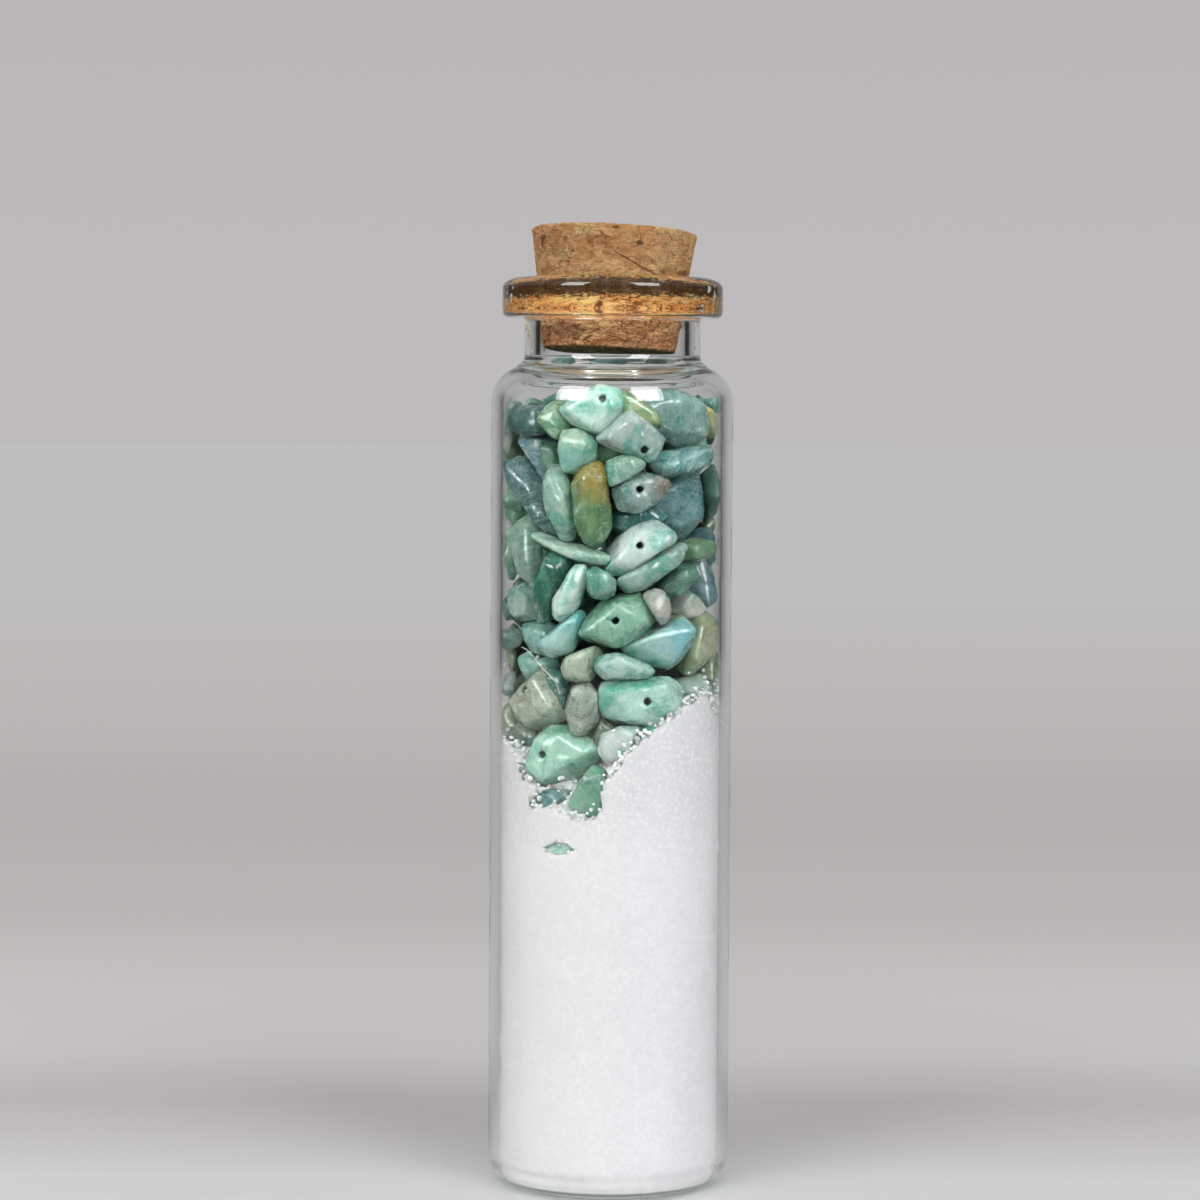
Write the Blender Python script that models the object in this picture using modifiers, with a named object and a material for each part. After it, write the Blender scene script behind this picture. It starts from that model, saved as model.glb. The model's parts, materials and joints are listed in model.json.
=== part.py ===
"""Corked glass vial, part filled with white sand and topped up with tumbled, drilled amazonite chips.

Metres, +Z up, resting on z = 0 with the vial's axis on the Z axis and its front towards -Y.
"""

import math

import bmesh
import bpy
import numpy as np
from mathutils import Matrix, Vector

MM = 0.001

# Vial: outer sizes, wall and the round stretches of its profile.
BODY_RADIUS = 11.0 * MM
WALL = 1.05 * MM
BODY_TOP = 71.2 * MM
SHOULDER_RADIUS = 3.35 * MM
NECK_RADIUS = 7.98 * MM
NECK_FILLET = 0.5 * MM
LIP_RADIUS = 10.0 * MM
LIP_HEIGHT = 3.65 * MM
NECK_LENGTH = 4.3 * MM
LIP_TOP_ROUND = 1.5 * MM
LIP_LOWER_ROUND = 0.6 * MM
MOUTH_ROUND = 0.6 * MM
BORE_ROUND = 0.7 * MM
HEEL_RADIUS = 2.6 * MM
REST_RING_INNER = 6.4 * MM
PUSH_UP = 0.5 * MM
FLOOR = 0.95 * MM
FLOOR_FILLET = 1.9 * MM
GLASS_STEPS = 48

INNER_RADIUS = BODY_RADIUS - WALL
INNER_SHOULDER = SHOULDER_RADIUS - WALL
SHOULDER_CENTRE = BODY_RADIUS - SHOULDER_RADIUS
SHOULDER_TOP = BODY_TOP + SHOULDER_RADIUS
LIP_BOTTOM = SHOULDER_TOP + NECK_LENGTH
LIP_TOP = LIP_BOTTOM + LIP_HEIGHT

# Cork: a taper pushed in a little crooked, its right side low and its front high, both about a
# point in the neck.
CORK_TOP_RADIUS = 7.6 * MM
CORK_BOTTOM_RADIUS = 6.05 * MM
CORK_LENGTH = 10.9 * MM
CORK_PROUD = 4.1 * MM
CORK_TILT = math.radians(2.7)
CORK_PITCH = math.radians(3.0)
CORK_PIVOT_DEPTH = 2.6 * MM
CORK_CLEARANCE = 0.32 * MM
CORK_EDGE = 0.35 * MM
CORK_SEGMENTS = 40

# The fill is drawn in these units, so that it follows the vial: across it, and up it.
ACROSS = BODY_RADIUS / 11.0
UP = BODY_TOP / 71.2

# Fill: sand and chips keep this far from the glass, and a chip's cage from the next one.
GLASS_GAP = 0.3 * MM
CHIP_GAP = 0.1 * MM
FILL_RADIUS = INNER_RADIUS - GLASS_GAP
HOLE_RADIUS = 0.42 * MM
HOLE_SIDES = 8
DRILL_LENGTH = 16.0 * MM
# A cage is drawn this much over size, because its subdivision rounds it inwards, less so the
# more its edges are creased.
SWELL = 1.08
CREASE = 0.5
# Part of a chip's thickness that lies in front of its widest outline, and how far its faces draw in.
WIDEST = 0.42
UNEVEN = 0.07
FRONT_FACE = 0.7
BACK_FACE = 0.75
# A hidden chip's hole lies this share of its width off the middle.
HOLE_OFFSET = 0.15
# A wall plane faces the front when its normal leans towards it by more than this.
FACES_FRONT = 0.2
# Share of its place round the wall by which a front chip is turned to lie along the glass.
TURN = 0.7
# Cage points nearer than this are one point, and faces that meet at less than this are one face.
CROWDED = 0.5 * MM
FLAT_ENOUGH = math.radians(7)
# How far a chip of the second layer may be pushed in from the glass.
SECOND_TRAVEL = 1.3 * MM
SETTLE_ROUNDS = 220
SETTLE_DIRECTIONS = 320
PARTING_DIRECTIONS = 1600
# Share of an overlap that a chip gives up, against its neighbour's share.
GIVES = {"front": 0.12, "second": 0.5, "free": 0.88}
# Share of a push that a chip follows.
FOLLOWS = {"front": 0.0, "second": 0.5, "free": 1.0}
SAND_SECTORS = 36
SAND_RINGS = (1.0, 0.8, 0.6, 0.4, 0.2, 0.0)
# The sand's level bends towards its edge as the distance from the axis to this power.
SAND_BEND = 1.5
# Chips that come this near to the sand are bedded in it, and those this near to the glass show there.
BED_REACH = 2.0 * MM
SHOWS_WITHIN = 0.8 * MM

# Sand level at points round the wall: degrees from the front towards +X, and height.
SAND_AT_WALL = (
    (-180, 43.5 * UP),
    (-130, 41.8 * UP),
    (-90, 40.4 * UP),
    (-58, 40.0 * UP),
    (-44, 36.0 * UP),
    (-22, 33.6 * UP),
    (-6, 34.4 * UP),
    (4, 38.8 * UP),
    (22, 41.6 * UP),
    (48, 44.6 * UP),
    (90, 45.0 * UP),
    (135, 44.5 * UP),
)
SAND_AT_MIDDLE = 41.0 * UP
# Nothing in the vial reaches higher than this, and the chips at the back stay a little lower.
CHIPS_TOP = 72.7 * UP
BACK_TOP = 71.2 * UP

# Colours, sRGB.
MINT = (0.59, 0.79, 0.68)
PALE = (0.78, 0.87, 0.83)
AQUA = (0.53, 0.74, 0.71)
LEAF = (0.45, 0.64, 0.52)
TEAL = (0.26, 0.44, 0.40)
SLATE = (0.35, 0.47, 0.50)
GREY = (0.66, 0.72, 0.70)
KHAKI = (0.60, 0.65, 0.57)
OLIVE = (0.42, 0.47, 0.32)
SAND_WHITE = (0.90, 0.90, 0.89)
CORK_TAN = (0.72, 0.55, 0.36)
GLASS_CLEAR = (0.96, 0.98, 0.97)

FRONT = "front"
SECOND = "second"
FREE = "free"

# Chips seen through the front: name, colour, layer, thickness, outline as (across, up) from the
# axis and the base, and the place of a hole that opens towards the front, all in the fill's units.
SEEN_CHIPS = (
    ("pale_top", PALE, FRONT, 4.0, ((-4.7, 70.6), (-2.8, 72.1), (-1.2, 72.7), (0.3, 72.3), (0.8, 70.9),
                                    (-0.8, 68.6), (-1.6, 68.4), (-3.9, 69.5)), (-0.8, 71.5)),
    ("kite", GREY, FRONT, 3.8, ((-1.3, 68.0), (2.9, 66.0), (3.7, 66.1), (4.8, 68.1), (2.0, 70.4),
                                (1.2, 70.5)), (2.8, 67.1)),
    ("cream_block", PALE, FRONT, 3.4, ((-4.6, 68.6), (-3.3, 68.9), (-1.7, 67.9), (-1.9, 66.0), (-3.0, 64.9),
                                       (-4.4, 65.1), (-4.8, 67.0)), None),
    ("aqua_bar_right", AQUA, FRONT, 3.4, ((4.0, 65.6), (4.7, 66.7), (8.3, 67.4), (9.3, 66.9), (8.8, 65.6),
                                          (6.0, 64.6), (4.8, 64.8)), None),
    ("aqua_long", AQUA, FRONT, 3.4, ((-5.5, 65.5), (-4.7, 65.5), (-3.7, 63.2), (-3.2, 60.6), (-3.9, 59.0),
                                     (-4.7, 59.0), (-5.9, 61.7), (-6.1, 64.2)), None),
    ("olive_pill", LEAF, FRONT, 4.2, ((-2.6, 65.5), (-1.4, 65.9), (-0.5, 65.0), (-0.3, 60.4), (-1.5, 58.4),
                                      (-2.6, 59.0), (-3.4, 61.0), (-3.5, 64.0)), None),
    ("holed_grey", GREY, FRONT, 3.6, ((0.3, 63.6), (1.9, 64.9), (3.6, 64.9), (5.2, 64.2), (4.4, 62.6),
                                      (2.5, 61.5), (0.9, 61.8)), (2.3, 63.6)),
    ("white_oval", PALE, FRONT, 3.8, ((-0.4, 57.0), (0.8, 59.2), (2.6, 60.4), (4.1, 60.7), (5.7, 59.5),
                                      (5.5, 58.2), (2.3, 56.3), (0.4, 55.9)), (2.4, 58.6)),
    ("pale_sliver", MINT, FRONT, 2.6, ((-7.0, 59.4), (-6.4, 59.7), (-0.3, 57.7), (-0.4, 56.7), (-3.1, 57.1),
                                       (-6.2, 58.5)), None),
    ("white_pill", PALE, FRONT, 2.8, ((-3.4, 56.7), (-2.5, 56.9), (-2.4, 55.2), (-3.2, 53.2), (-4.5, 51.7),
                                      (-5.2, 52.3), (-5.1, 53.9)), None),
    ("grey_green_bar", LEAF, FRONT, 3.4, ((0.9, 55.8), (4.6, 57.6), (5.9, 58.8), (6.9, 58.3), (6.2, 57.0),
                                          (3.1, 54.6), (1.6, 54.4)), None),
    ("olive_right", OLIVE, FRONT, 3.4, ((6.6, 58.6), (8.0, 59.0), (8.8, 59.0), (9.4, 58.1), (9.0, 57.4),
                                        (7.3, 56.9), (6.5, 57.2)), None),
    ("green_facet", MINT, FRONT, 4.6, ((-2.8, 50.8), (-0.8, 53.4), (0.7, 54.0), (2.5, 54.3), (3.8, 52.0),
                                       (1.4, 49.5), (0.2, 49.4), (-2.3, 50.2)), (0.4, 52.0)),
    ("pale_triangle", AQUA, FRONT, 4.2, ((1.2, 50.1), (3.3, 50.9), (4.7, 51.9), (6.3, 52.4), (7.7, 51.3),
                                         (7.3, 49.4), (5.6, 47.4), (2.3, 48.6)), None),
    ("aqua_hook", AQUA, FRONT, 3.2, ((-3.8, 52.0), (-3.2, 52.8), (-2.5, 52.5), (-3.2, 49.8), (-4.1, 48.9),
                                     (-5.5, 48.5), (-6.8, 49.5), (-5.4, 50.9)), None),
    ("beige_wedge", KHAKI, FRONT, 3.2, ((-1.5, 49.7), (-1.2, 49.2), (-1.6, 46.8), (-2.6, 46.3), (-4.0, 46.7),
                                        (-4.4, 47.6), (-4.0, 48.7)), None),
    ("mint_lens", MINT, FRONT, 3.0, ((-1.4, 47.9), (-0.8, 48.7), (0.6, 49.1), (3.1, 48.1), (3.7, 47.4),
                                     (3.0, 46.8), (-0.6, 46.8)), None),
    ("mint_brick", MINT, FRONT, 4.2, ((-0.8, 45.9), (0.0, 46.5), (5.2, 46.8), (6.2, 45.9), (6.2, 43.8),
                                      (4.8, 42.5), (1.8, 42.6), (-0.8, 43.7)), (3.1, 44.8)),
    ("khaki_triangle", KHAKI, FRONT, 3.8, ((-9.1, 44.4), (-8.7, 45.5), (-6.5, 47.4), (-5.7, 46.7),
                                           (-4.2, 43.9), (-4.8, 43.0), (-7.4, 41.6), (-8.5, 42.4)),
     (-7.4, 45.5)),
    ("grey_oval", KHAKI, FRONT, 3.6, ((-3.4, 46.2), (-2.3, 46.4), (-0.9, 44.8), (-0.9, 43.4), (-2.6, 41.6),
                                      (-3.6, 41.9), (-4.0, 44.0)), None),
    ("mint_heart", MINT, FRONT, 4.6, ((-6.9, 41.4), (-5.7, 42.2), (-4.4, 42.3), (-1.9, 41.5), (-1.2, 40.4),
                                      (-3.3, 38.1), (-6.1, 36.8), (-7.4, 37.5), (-7.8, 38.8)),
     (-5.9, 39.9)),
    ("green_sunk", LEAF, FRONT, 3.4, ((-2.9, 37.2), (-1.6, 39.0), (-0.7, 38.6), (-0.2, 35.3), (-1.1, 34.4),
                                      (-2.1, 33.9), (-3.8, 35.4)), None),
    ("blue_sunk", SLATE, FRONT, 3.0, ((-6.9, 35.2), (-6.5, 36.4), (-5.3, 36.7), (-4.0, 36.6), (-3.9, 35.9),
                                      (-4.7, 34.9), (-6.3, 34.6)), None),
    ("buried_sliver", MINT, FRONT, 2.4, ((-5.7, 31.8), (-4.7, 32.5), (-3.3, 32.5), (-2.4, 31.8),
                                         (-2.9, 31.0), (-4.4, 30.7), (-5.5, 31.1)), None),
    ("slate_sliver", SLATE, FRONT, 2.8, ((-9.3, 65.9), (-8.7, 66.3), (-6.7, 63.5), (-5.4, 59.6),
                                         (-6.2, 59.5), (-8.6, 63.0), (-9.3, 64.5)), None),
    ("green_right_low", LEAF, FRONT, 3.4, ((6.5, 45.7), (7.3, 46.5), (8.6, 46.7), (9.3, 45.7), (9.3, 43.7),
                                           (9.0, 42.1), (8.0, 42.5), (7.1, 43.9)), None),
    ("speckled", LEAF, SECOND, 3.6, ((-6.7, 69.8), (-6.1, 71.1), (-4.0, 71.3), (-3.5, 70.1), (-4.7, 67.3),
                                     (-6.3, 68.7)), None),
    ("mint_diagonal", MINT, SECOND, 3.0, ((-0.9, 65.5), (0.4, 66.3), (1.8, 66.6), (3.2, 66.0), (2.5, 65.1),
                                          (0.9, 64.2), (-0.3, 63.4), (-0.7, 63.9)), None),
    ("blue_round", SLATE, SECOND, 4.4, ((4.8, 72.1), (6.0, 72.6), (8.0, 71.5), (9.2, 69.4), (8.3, 67.7),
                                        (6.4, 67.4), (4.3, 68.7), (3.6, 70.6)), None),
    ("slate_left", SLATE, SECOND, 3.8, ((-9.1, 68.2), (-8.4, 68.7), (-7.0, 68.5), (-5.4, 65.4), (-6.9, 62.6),
                                        (-8.8, 65.9), (-9.3, 67.0)), None),
    ("slate_round", SLATE, SECOND, 4.4, ((5.1, 64.2), (6.4, 65.1), (8.8, 65.0), (9.5, 63.0), (9.2, 60.5),
                                         (7.8, 58.9), (5.8, 59.4), (4.2, 61.5)), None),
    ("mint_cube", MINT, SECOND, 3.0, ((-2.1, 56.3), (-1.4, 56.8), (-0.4, 56.5), (0.4, 55.7), (0.2, 54.3),
                                      (-0.7, 53.8), (-1.7, 54.1), (-2.1, 54.9)), None),
    ("deep_teal", TEAL, SECOND, 3.2, ((-5.8, 57.9), (-4.5, 57.9), (-3.8, 57.0), (-5.0, 53.8), (-5.3, 51.8),
                                      (-6.8, 51.6), (-6.8, 54.5)), None),
    ("dark_right", TEAL, SECOND, 3.0, ((6.2, 56.7), (7.5, 56.8), (7.8, 55.9), (7.0, 54.8), (5.6, 53.7),
                                       (4.7, 54.5), (5.2, 55.7)), None),
    ("rose_grey", GREY, SECOND, 3.0, ((2.9, 53.9), (3.9, 54.7), (4.7, 54.6), (5.4, 53.2), (5.2, 52.0),
                                      (4.0, 51.3), (3.2, 52.2)), None),
    ("straw_right", KHAKI, SECOND, 3.2, ((7.5, 51.9), (8.4, 52.8), (9.3, 52.2), (9.5, 50.3), (9.2, 48.3),
                                         (8.1, 46.8), (6.6, 47.5)), None),
    ("teal_left_high", AQUA, SECOND, 3.2, ((-8.9, 51.3), (-7.7, 51.5), (-5.8, 50.8), (-6.0, 49.4),
                                           (-7.1, 48.3), (-8.6, 48.9)), None),
    ("teal_left_low", AQUA, SECOND, 3.2, ((-9.1, 48.5), (-7.7, 49.0), (-6.2, 47.8), (-6.6, 46.4),
                                          (-8.2, 45.7), (-9.1, 46.4)), None),
    ("dark_top_left", TEAL, SECOND, 3.4, ((-9.2, 70.2), (-8.6, 70.8), (-6.4, 70.8), (-5.7, 70.0),
                                          (-6.1, 68.6), (-7.9, 68.1), (-9.0, 68.7)), None),
    ("grey_left", GREY, SECOND, 3.6, ((-9.2, 60.1), (-8.2, 61.1), (-7.2, 60.5), (-6.6, 58.6), (-6.5, 56.0),
                                      (-6.9, 54.3), (-8.2, 55.2), (-9.2, 56.8)), None),
)

# Outlines of the forms that tumbled chips of this stone take, in a unit square.
FORMS = {
    "block": ((-0.5, -0.34), (-0.38, -0.5), (0.36, -0.46), (0.5, -0.3), (0.47, 0.36), (0.3, 0.5),
              (-0.42, 0.44)),
    "oval": ((-0.5, 0.02), (-0.36, -0.38), (0.02, -0.5), (0.38, -0.34), (0.5, 0.06), (0.3, 0.42),
             (-0.1, 0.5)),
    "wedge": ((-0.5, -0.3), (-0.2, -0.5), (0.42, -0.4), (0.5, -0.1), (0.12, 0.46), (-0.1, 0.5)),
    "kite": ((-0.5, 0.1), (-0.14, -0.5), (0.2, -0.44), (0.5, -0.02), (0.3, 0.36), (-0.06, 0.5)),
}

# Chips at the back and in the core, in the fill's units and degrees: name, colour, form, place
# round from the front, distance behind the glass, height of the middle, width, height, thickness,
# tilt, and whether its hole shows.
HIDDEN_CHIPS = (
    ("back_01", AQUA, "block", 112, 0.0, 50.0, 8.2, 6.2, 4.2, 12, True),
    ("back_02", MINT, "oval", 168, 0.0, 50.2, 9.0, 6.4, 4.4, -20, False),
    ("back_03", KHAKI, "wedge", 226, 0.0, 49.0, 8.6, 7.0, 4.2, 8, False),
    ("back_04", SLATE, "kite", 108, 0.0, 57.4, 7.6, 7.2, 4.4, 35, False),
    ("back_05", PALE, "oval", 154, 0.0, 57.6, 8.8, 6.0, 4.2, 24, True),
    ("back_06", LEAF, "block", 204, 0.0, 56.4, 8.4, 6.4, 4.4, -10, False),
    ("back_07", TEAL, "wedge", 250, 0.0, 56.6, 8.0, 6.8, 4.2, 30, False),
    ("back_08", MINT, "kite", 116, 0.0, 64.2, 8.0, 6.6, 4.2, -26, True),
    ("back_09", AQUA, "wedge", 164, 0.0, 64.0, 8.4, 6.6, 4.4, 16, False),
    ("back_10", GREY, "oval", 212, 0.0, 63.4, 9.0, 6.2, 4.2, -32, False),
    ("back_11", LEAF, "block", 252, 0.0, 64.0, 7.2, 6.6, 4.0, 6, True),
    ("back_12", SLATE, "oval", 140, 0.0, 69.6, 8.0, 4.8, 4.0, 10, False),
    ("back_13", PALE, "kite", 200, 0.0, 69.6, 8.2, 4.8, 4.0, -14, True),
    ("core_01", OLIVE, "block", 20, 5.2, 47.5, 8.0, 7.0, 6.6, 20, False),
    ("core_02", TEAL, "oval", 200, 4.6, 54.6, 8.6, 7.4, 7.0, -30, False),
    ("core_03", LEAF, "wedge", 90, 4.8, 61.8, 8.6, 7.6, 7.0, 14, False),
    ("core_04", KHAKI, "kite", 300, 5.2, 67.6, 7.8, 6.4, 6.6, -8, False),
)


def clear_scene():
    for obj in list(bpy.data.objects):
        bpy.data.objects.remove(obj, do_unlink=True)


def linear(channel):
    return channel / 12.92 if channel <= 0.04045 else ((channel + 0.055) / 1.055) ** 2.4


def material(name, colour, roughness, transmission=0.0):
    made = bpy.data.materials.new(name)
    made.use_nodes = True
    shader = made.node_tree.nodes["Principled BSDF"]
    shader.inputs["Base Color"].default_value = (*(linear(channel) for channel in colour), 1.0)
    shader.inputs["Roughness"].default_value = roughness
    shader.inputs["Metallic"].default_value = 0.0
    shader.inputs["Transmission Weight"].default_value = transmission
    return made


def add_object(name, bm, collection, parent=None, finish=None):
    mesh = bpy.data.meshes.new(name)
    bm.to_mesh(mesh)
    bm.free()
    obj = bpy.data.objects.new(name, mesh)
    collection.objects.link(obj)
    obj.parent = parent
    if finish:
        mesh.materials.append(finish)
    return obj


def add_cutter(name, bm, collection):
    cutter = add_object(name, bm, collection)
    cutter.hide_render = True
    cutter.display_type = "WIRE"
    return cutter


def cut(obj, cutter):
    boolean = obj.modifiers.new(cutter.name, "BOOLEAN")
    boolean.operation = "DIFFERENCE"
    boolean.solver = "EXACT"
    boolean.object = cutter


def arc(centre, radius, start, end, steps):
    """Points (radius, height) on an arc, from one angle in degrees to the other."""
    angles = [math.radians(start + (end - start) * step / steps) for step in range(steps + 1)]
    return [(centre[0] + radius * math.cos(a), centre[1] + radius * math.sin(a)) for a in angles]


def cork_radius(height):
    """The cork's radius at a height in the neck."""
    bottom = LIP_TOP + CORK_PROUD - CORK_LENGTH
    return CORK_BOTTOM_RADIUS + (CORK_TOP_RADIUS - CORK_BOTTOM_RADIUS) * (height - bottom) / CORK_LENGTH


def vial_profile():
    """The glass from the middle of its floor, up the inside, over the lip and down to the base."""
    bore = cork_radius(SHOULDER_TOP) + CORK_CLEARANCE
    mouth = cork_radius(LIP_TOP) + CORK_CLEARANCE
    inner_top = BODY_TOP + INNER_SHOULDER
    points = [(0.0, FLOOR + 0.5 * PUSH_UP)]
    points += arc((INNER_RADIUS - FLOOR_FILLET, FLOOR + FLOOR_FILLET), FLOOR_FILLET, -90, 0, 4)
    points += arc((SHOULDER_CENTRE, BODY_TOP), INNER_SHOULDER, 0, 90, 5)
    points += arc((bore + BORE_ROUND, inner_top + BORE_ROUND), BORE_ROUND, 270, 180, 2)
    points += arc((mouth + MOUTH_ROUND, LIP_TOP - MOUTH_ROUND), MOUTH_ROUND, 180, 90, 3)
    points += arc((LIP_RADIUS - LIP_TOP_ROUND, LIP_TOP - LIP_TOP_ROUND), LIP_TOP_ROUND, 90, 0, 4)
    points += arc((LIP_RADIUS - LIP_LOWER_ROUND, LIP_BOTTOM + LIP_LOWER_ROUND), LIP_LOWER_ROUND, 0, -90, 2)
    points.append((NECK_RADIUS, LIP_BOTTOM))
    points += arc((NECK_RADIUS + NECK_FILLET, SHOULDER_TOP + NECK_FILLET), NECK_FILLET, 180, 255, 2)
    points += arc((SHOULDER_CENTRE, BODY_TOP), SHOULDER_RADIUS, 75, 0, 6)
    points += arc((BODY_RADIUS - HEEL_RADIUS, HEEL_RADIUS), HEEL_RADIUS, 0, -90, 4)
    points.append((REST_RING_INNER, 0.0))
    points.append((REST_RING_INNER * 0.6, 0.7 * PUSH_UP))
    points.append((0.0, PUSH_UP))
    return points


def build_vial(collection, parent):
    bm = bmesh.new()
    verts = [bm.verts.new((radius, 0.0, height)) for radius, height in vial_profile()]
    for first, second in zip(verts, verts[1:]):
        bm.edges.new((first, second))
    vial = add_object("bottle", bm, collection, parent, material("clear_glass", GLASS_CLEAR, 0.02, 1.0))
    screw = vial.modifiers.new("turned", "SCREW")
    screw.axis = "Z"
    screw.steps = GLASS_STEPS
    screw.render_steps = GLASS_STEPS
    screw.use_merge_vertices = True
    screw.merge_threshold = 0.00001
    screw.use_smooth_shade = True
    return vial


def build_cork(collection, parent):
    bm = bmesh.new()
    bmesh.ops.create_cone(
        bm, cap_ends=True, segments=CORK_SEGMENTS,
        radius1=CORK_BOTTOM_RADIUS, radius2=CORK_TOP_RADIUS, depth=CORK_LENGTH,
    )
    pivot = LIP_TOP - CORK_PIVOT_DEPTH
    middle = LIP_TOP + CORK_PROUD - 0.5 * CORK_LENGTH
    bmesh.ops.translate(bm, verts=bm.verts, vec=(0.0, 0.0, middle - pivot))
    cork = add_object("cork_stopper", bm, collection, parent, material("cork", CORK_TAN, 0.85))
    cork.location = (0.0, 0.0, pivot)
    cork.rotation_euler = (-CORK_PITCH, CORK_TILT, 0.0)
    cork.data.shade_smooth()
    edge = cork.modifiers.new("worn_edges", "BEVEL")
    edge.width = CORK_EDGE
    edge.segments = 2
    edge.limit_method = "ANGLE"
    return cork


def sphere_directions(count):
    """Unit vectors spread evenly over the sphere."""
    steps = np.arange(count) + 0.5
    height = 1 - 2 * steps / count
    turn = math.pi * (1 + math.sqrt(5)) * steps
    ring = np.sqrt(1 - height**2)
    return np.column_stack((ring * np.cos(turn), ring * np.sin(turn), height))


def container_planes():
    """Half-spaces, as normals and distances, that together hold the inside of the vial's body."""
    normals, distances = [], []
    for around in np.radians(np.arange(0, 360, 10)):
        outward = np.array((math.cos(around), math.sin(around), 0.0))
        for rise in np.radians((0, 18, 36, 54, 72)):
            normals.append(outward * math.cos(rise) + np.array((0, 0, math.sin(rise))))
            centre = SHOULDER_CENTRE * math.cos(rise) + BODY_TOP * math.sin(rise)
            distances.append(centre + INNER_SHOULDER - GLASS_GAP)
    return np.array(normals), np.array(distances)


class Chip:
    """A chip while it is being placed: the points of its convex cage and how it may move."""

    def __init__(self, name, colour, layer, points, inward, hole=None):
        self.name = name
        self.colour = colour
        self.layer = layer
        self.points = points
        self.inward = inward
        self.hole = hole
        self.travel = 0.0

    def move(self, step):
        if self.layer == SECOND:
            inwards = min(max(0.0, float(step @ self.inward)), SECOND_TRAVEL - self.travel)
            self.travel += inwards
            step = self.inward * inwards
        self.points = self.points + step
        if self.hole is not None:
            self.hole = self.hole + step


def cage_points(outline, thickness, origin, across, up, inward):
    """Points of a chip's cage: its widest outline, and a smaller face in front and behind."""
    flat = np.array(outline)
    middle = flat.mean(axis=0)
    spread = (flat - middle) * SWELL
    deep = thickness * SWELL
    rings = (
        (spread, WIDEST),
        (spread[::2] * FRONT_FACE, 0.0),
        (spread[1::2] * BACK_FACE, 1.0),
    )
    points = []
    for ring, depth in rings:
        for index, (right, rise) in enumerate(ring + middle):
            uneven = UNEVEN * thickness * math.sin(2.3 * index + 11 * right / ACROSS)
            points.append(origin + across * right + up * rise + inward * (deep * depth + uneven))
    return np.array(points)


def seen_chip(name, colour, layer, thickness, outline, hole):
    """A chip drawn as it shows from the front, and slid outwards until it meets the glass."""
    drawn = np.array(outline) * (ACROSS, UP)
    centre = drawn.mean(axis=0)
    turn = TURN * math.asin(max(-0.95, min(0.95, centre[0] / FILL_RADIUS)))
    across = np.array((math.cos(turn), math.sin(turn), 0.0))
    inward = np.array((-math.sin(turn), math.cos(turn), 0.0))
    up = np.array((0.0, 0.0, 1.0))
    local = (drawn - centre) / (math.cos(turn), 1.0)
    origin = np.array((centre[0], 0.0, centre[1]))
    points = cage_points(local, thickness * ACROSS, origin, across, up, inward)
    normals, distances = container_planes()
    ahead = normals[:, 1] < -FACES_FRONT
    room = distances[ahead] - (points @ normals[ahead].T).max(axis=0)
    place = np.array((0.0, -(room / -normals[ahead, 1]).min(), 0.0))
    mark = None if hole is None else place + (hole[0] * ACROSS, 0.0, hole[1] * UP)
    return Chip(name, colour, layer, points + place, inward, mark)


def hidden_chip(name, colour, form, around, behind, height, width, tall, thickness, tilt, holed):
    """A chip at the back or in the core, given by its form and its place round the axis."""
    turn = math.radians(around)
    outward = np.array((math.sin(turn), -math.cos(turn), 0.0))
    sideways = np.array((math.cos(turn), math.sin(turn), 0.0))
    up = np.array((0.0, 0.0, 1.0))
    lean = math.radians(tilt)
    across = sideways * math.cos(lean) + up * math.sin(lean)
    rise = up * math.cos(lean) - sideways * math.sin(lean)
    outline = np.array(FORMS[form]) * (width * ACROSS, tall * UP)
    origin = outward * (FILL_RADIUS - behind * ACROSS) + up * height * UP
    points = cage_points(outline, thickness * ACROSS, origin, across, rise, -outward)
    mark = origin + across * HOLE_OFFSET * width * ACROSS if holed else None
    return Chip(name, colour, FREE, points, -outward, mark)


def spans(chips, directions):
    """Each chip's furthest and nearest reach along every direction."""
    reach = [chip.points @ directions.T for chip in chips]
    return np.array([r.max(axis=0) for r in reach]), np.array([r.min(axis=0) for r in reach])


def settle(chips):
    """Push overlapping chips apart, and those that poke out of the vial back inside."""
    directions = sphere_directions(SETTLE_DIRECTIONS)
    normals, distances = container_planes()
    for _ in range(SETTLE_ROUNDS):
        high, low = spans(chips, directions)
        moves = np.zeros((len(chips), 3))
        for first, chip in enumerate(chips):
            for second in range(first + 1, len(chips)):
                other = chips[second]
                loose = FOLLOWS[chip.layer] + FOLLOWS[other.layer]
                overlap = high[first] - low[second]
                best = int(overlap.argmin())
                if loose == 0 or overlap[best] <= 0:
                    continue
                push = directions[best] * overlap[best] * 0.5
                moves[first] -= push * FOLLOWS[chip.layer] / loose
                moves[second] += push * FOLLOWS[other.layer] / loose
        for index, chip in enumerate(chips):
            poke = chip.points @ normals.T - distances
            worst = poke.max(axis=0)
            if chip.layer == FREE and worst.max() > 0:
                plane = int(worst.argmax())
                moves[index] -= normals[plane] * worst[plane]
            if chip.layer == FREE:
                moves[index, 2] -= max(0.0, chip.points[:, 2].max() - BACK_TOP)
            if np.abs(moves[index]).max() > 0:
                chip.move(moves[index])


def hull(points):
    """A closed convex bmesh round the points."""
    bm = bmesh.new()
    for point in points:
        bm.verts.new(point)
    found = bmesh.ops.convex_hull(bm, input=bm.verts)
    spare = set(found["geom_interior"] + found["geom_unused"])
    spare = [item for item in spare if isinstance(item, bmesh.types.BMVert)]
    bmesh.ops.delete(bm, geom=spare, context="VERTS")
    return bm


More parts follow.
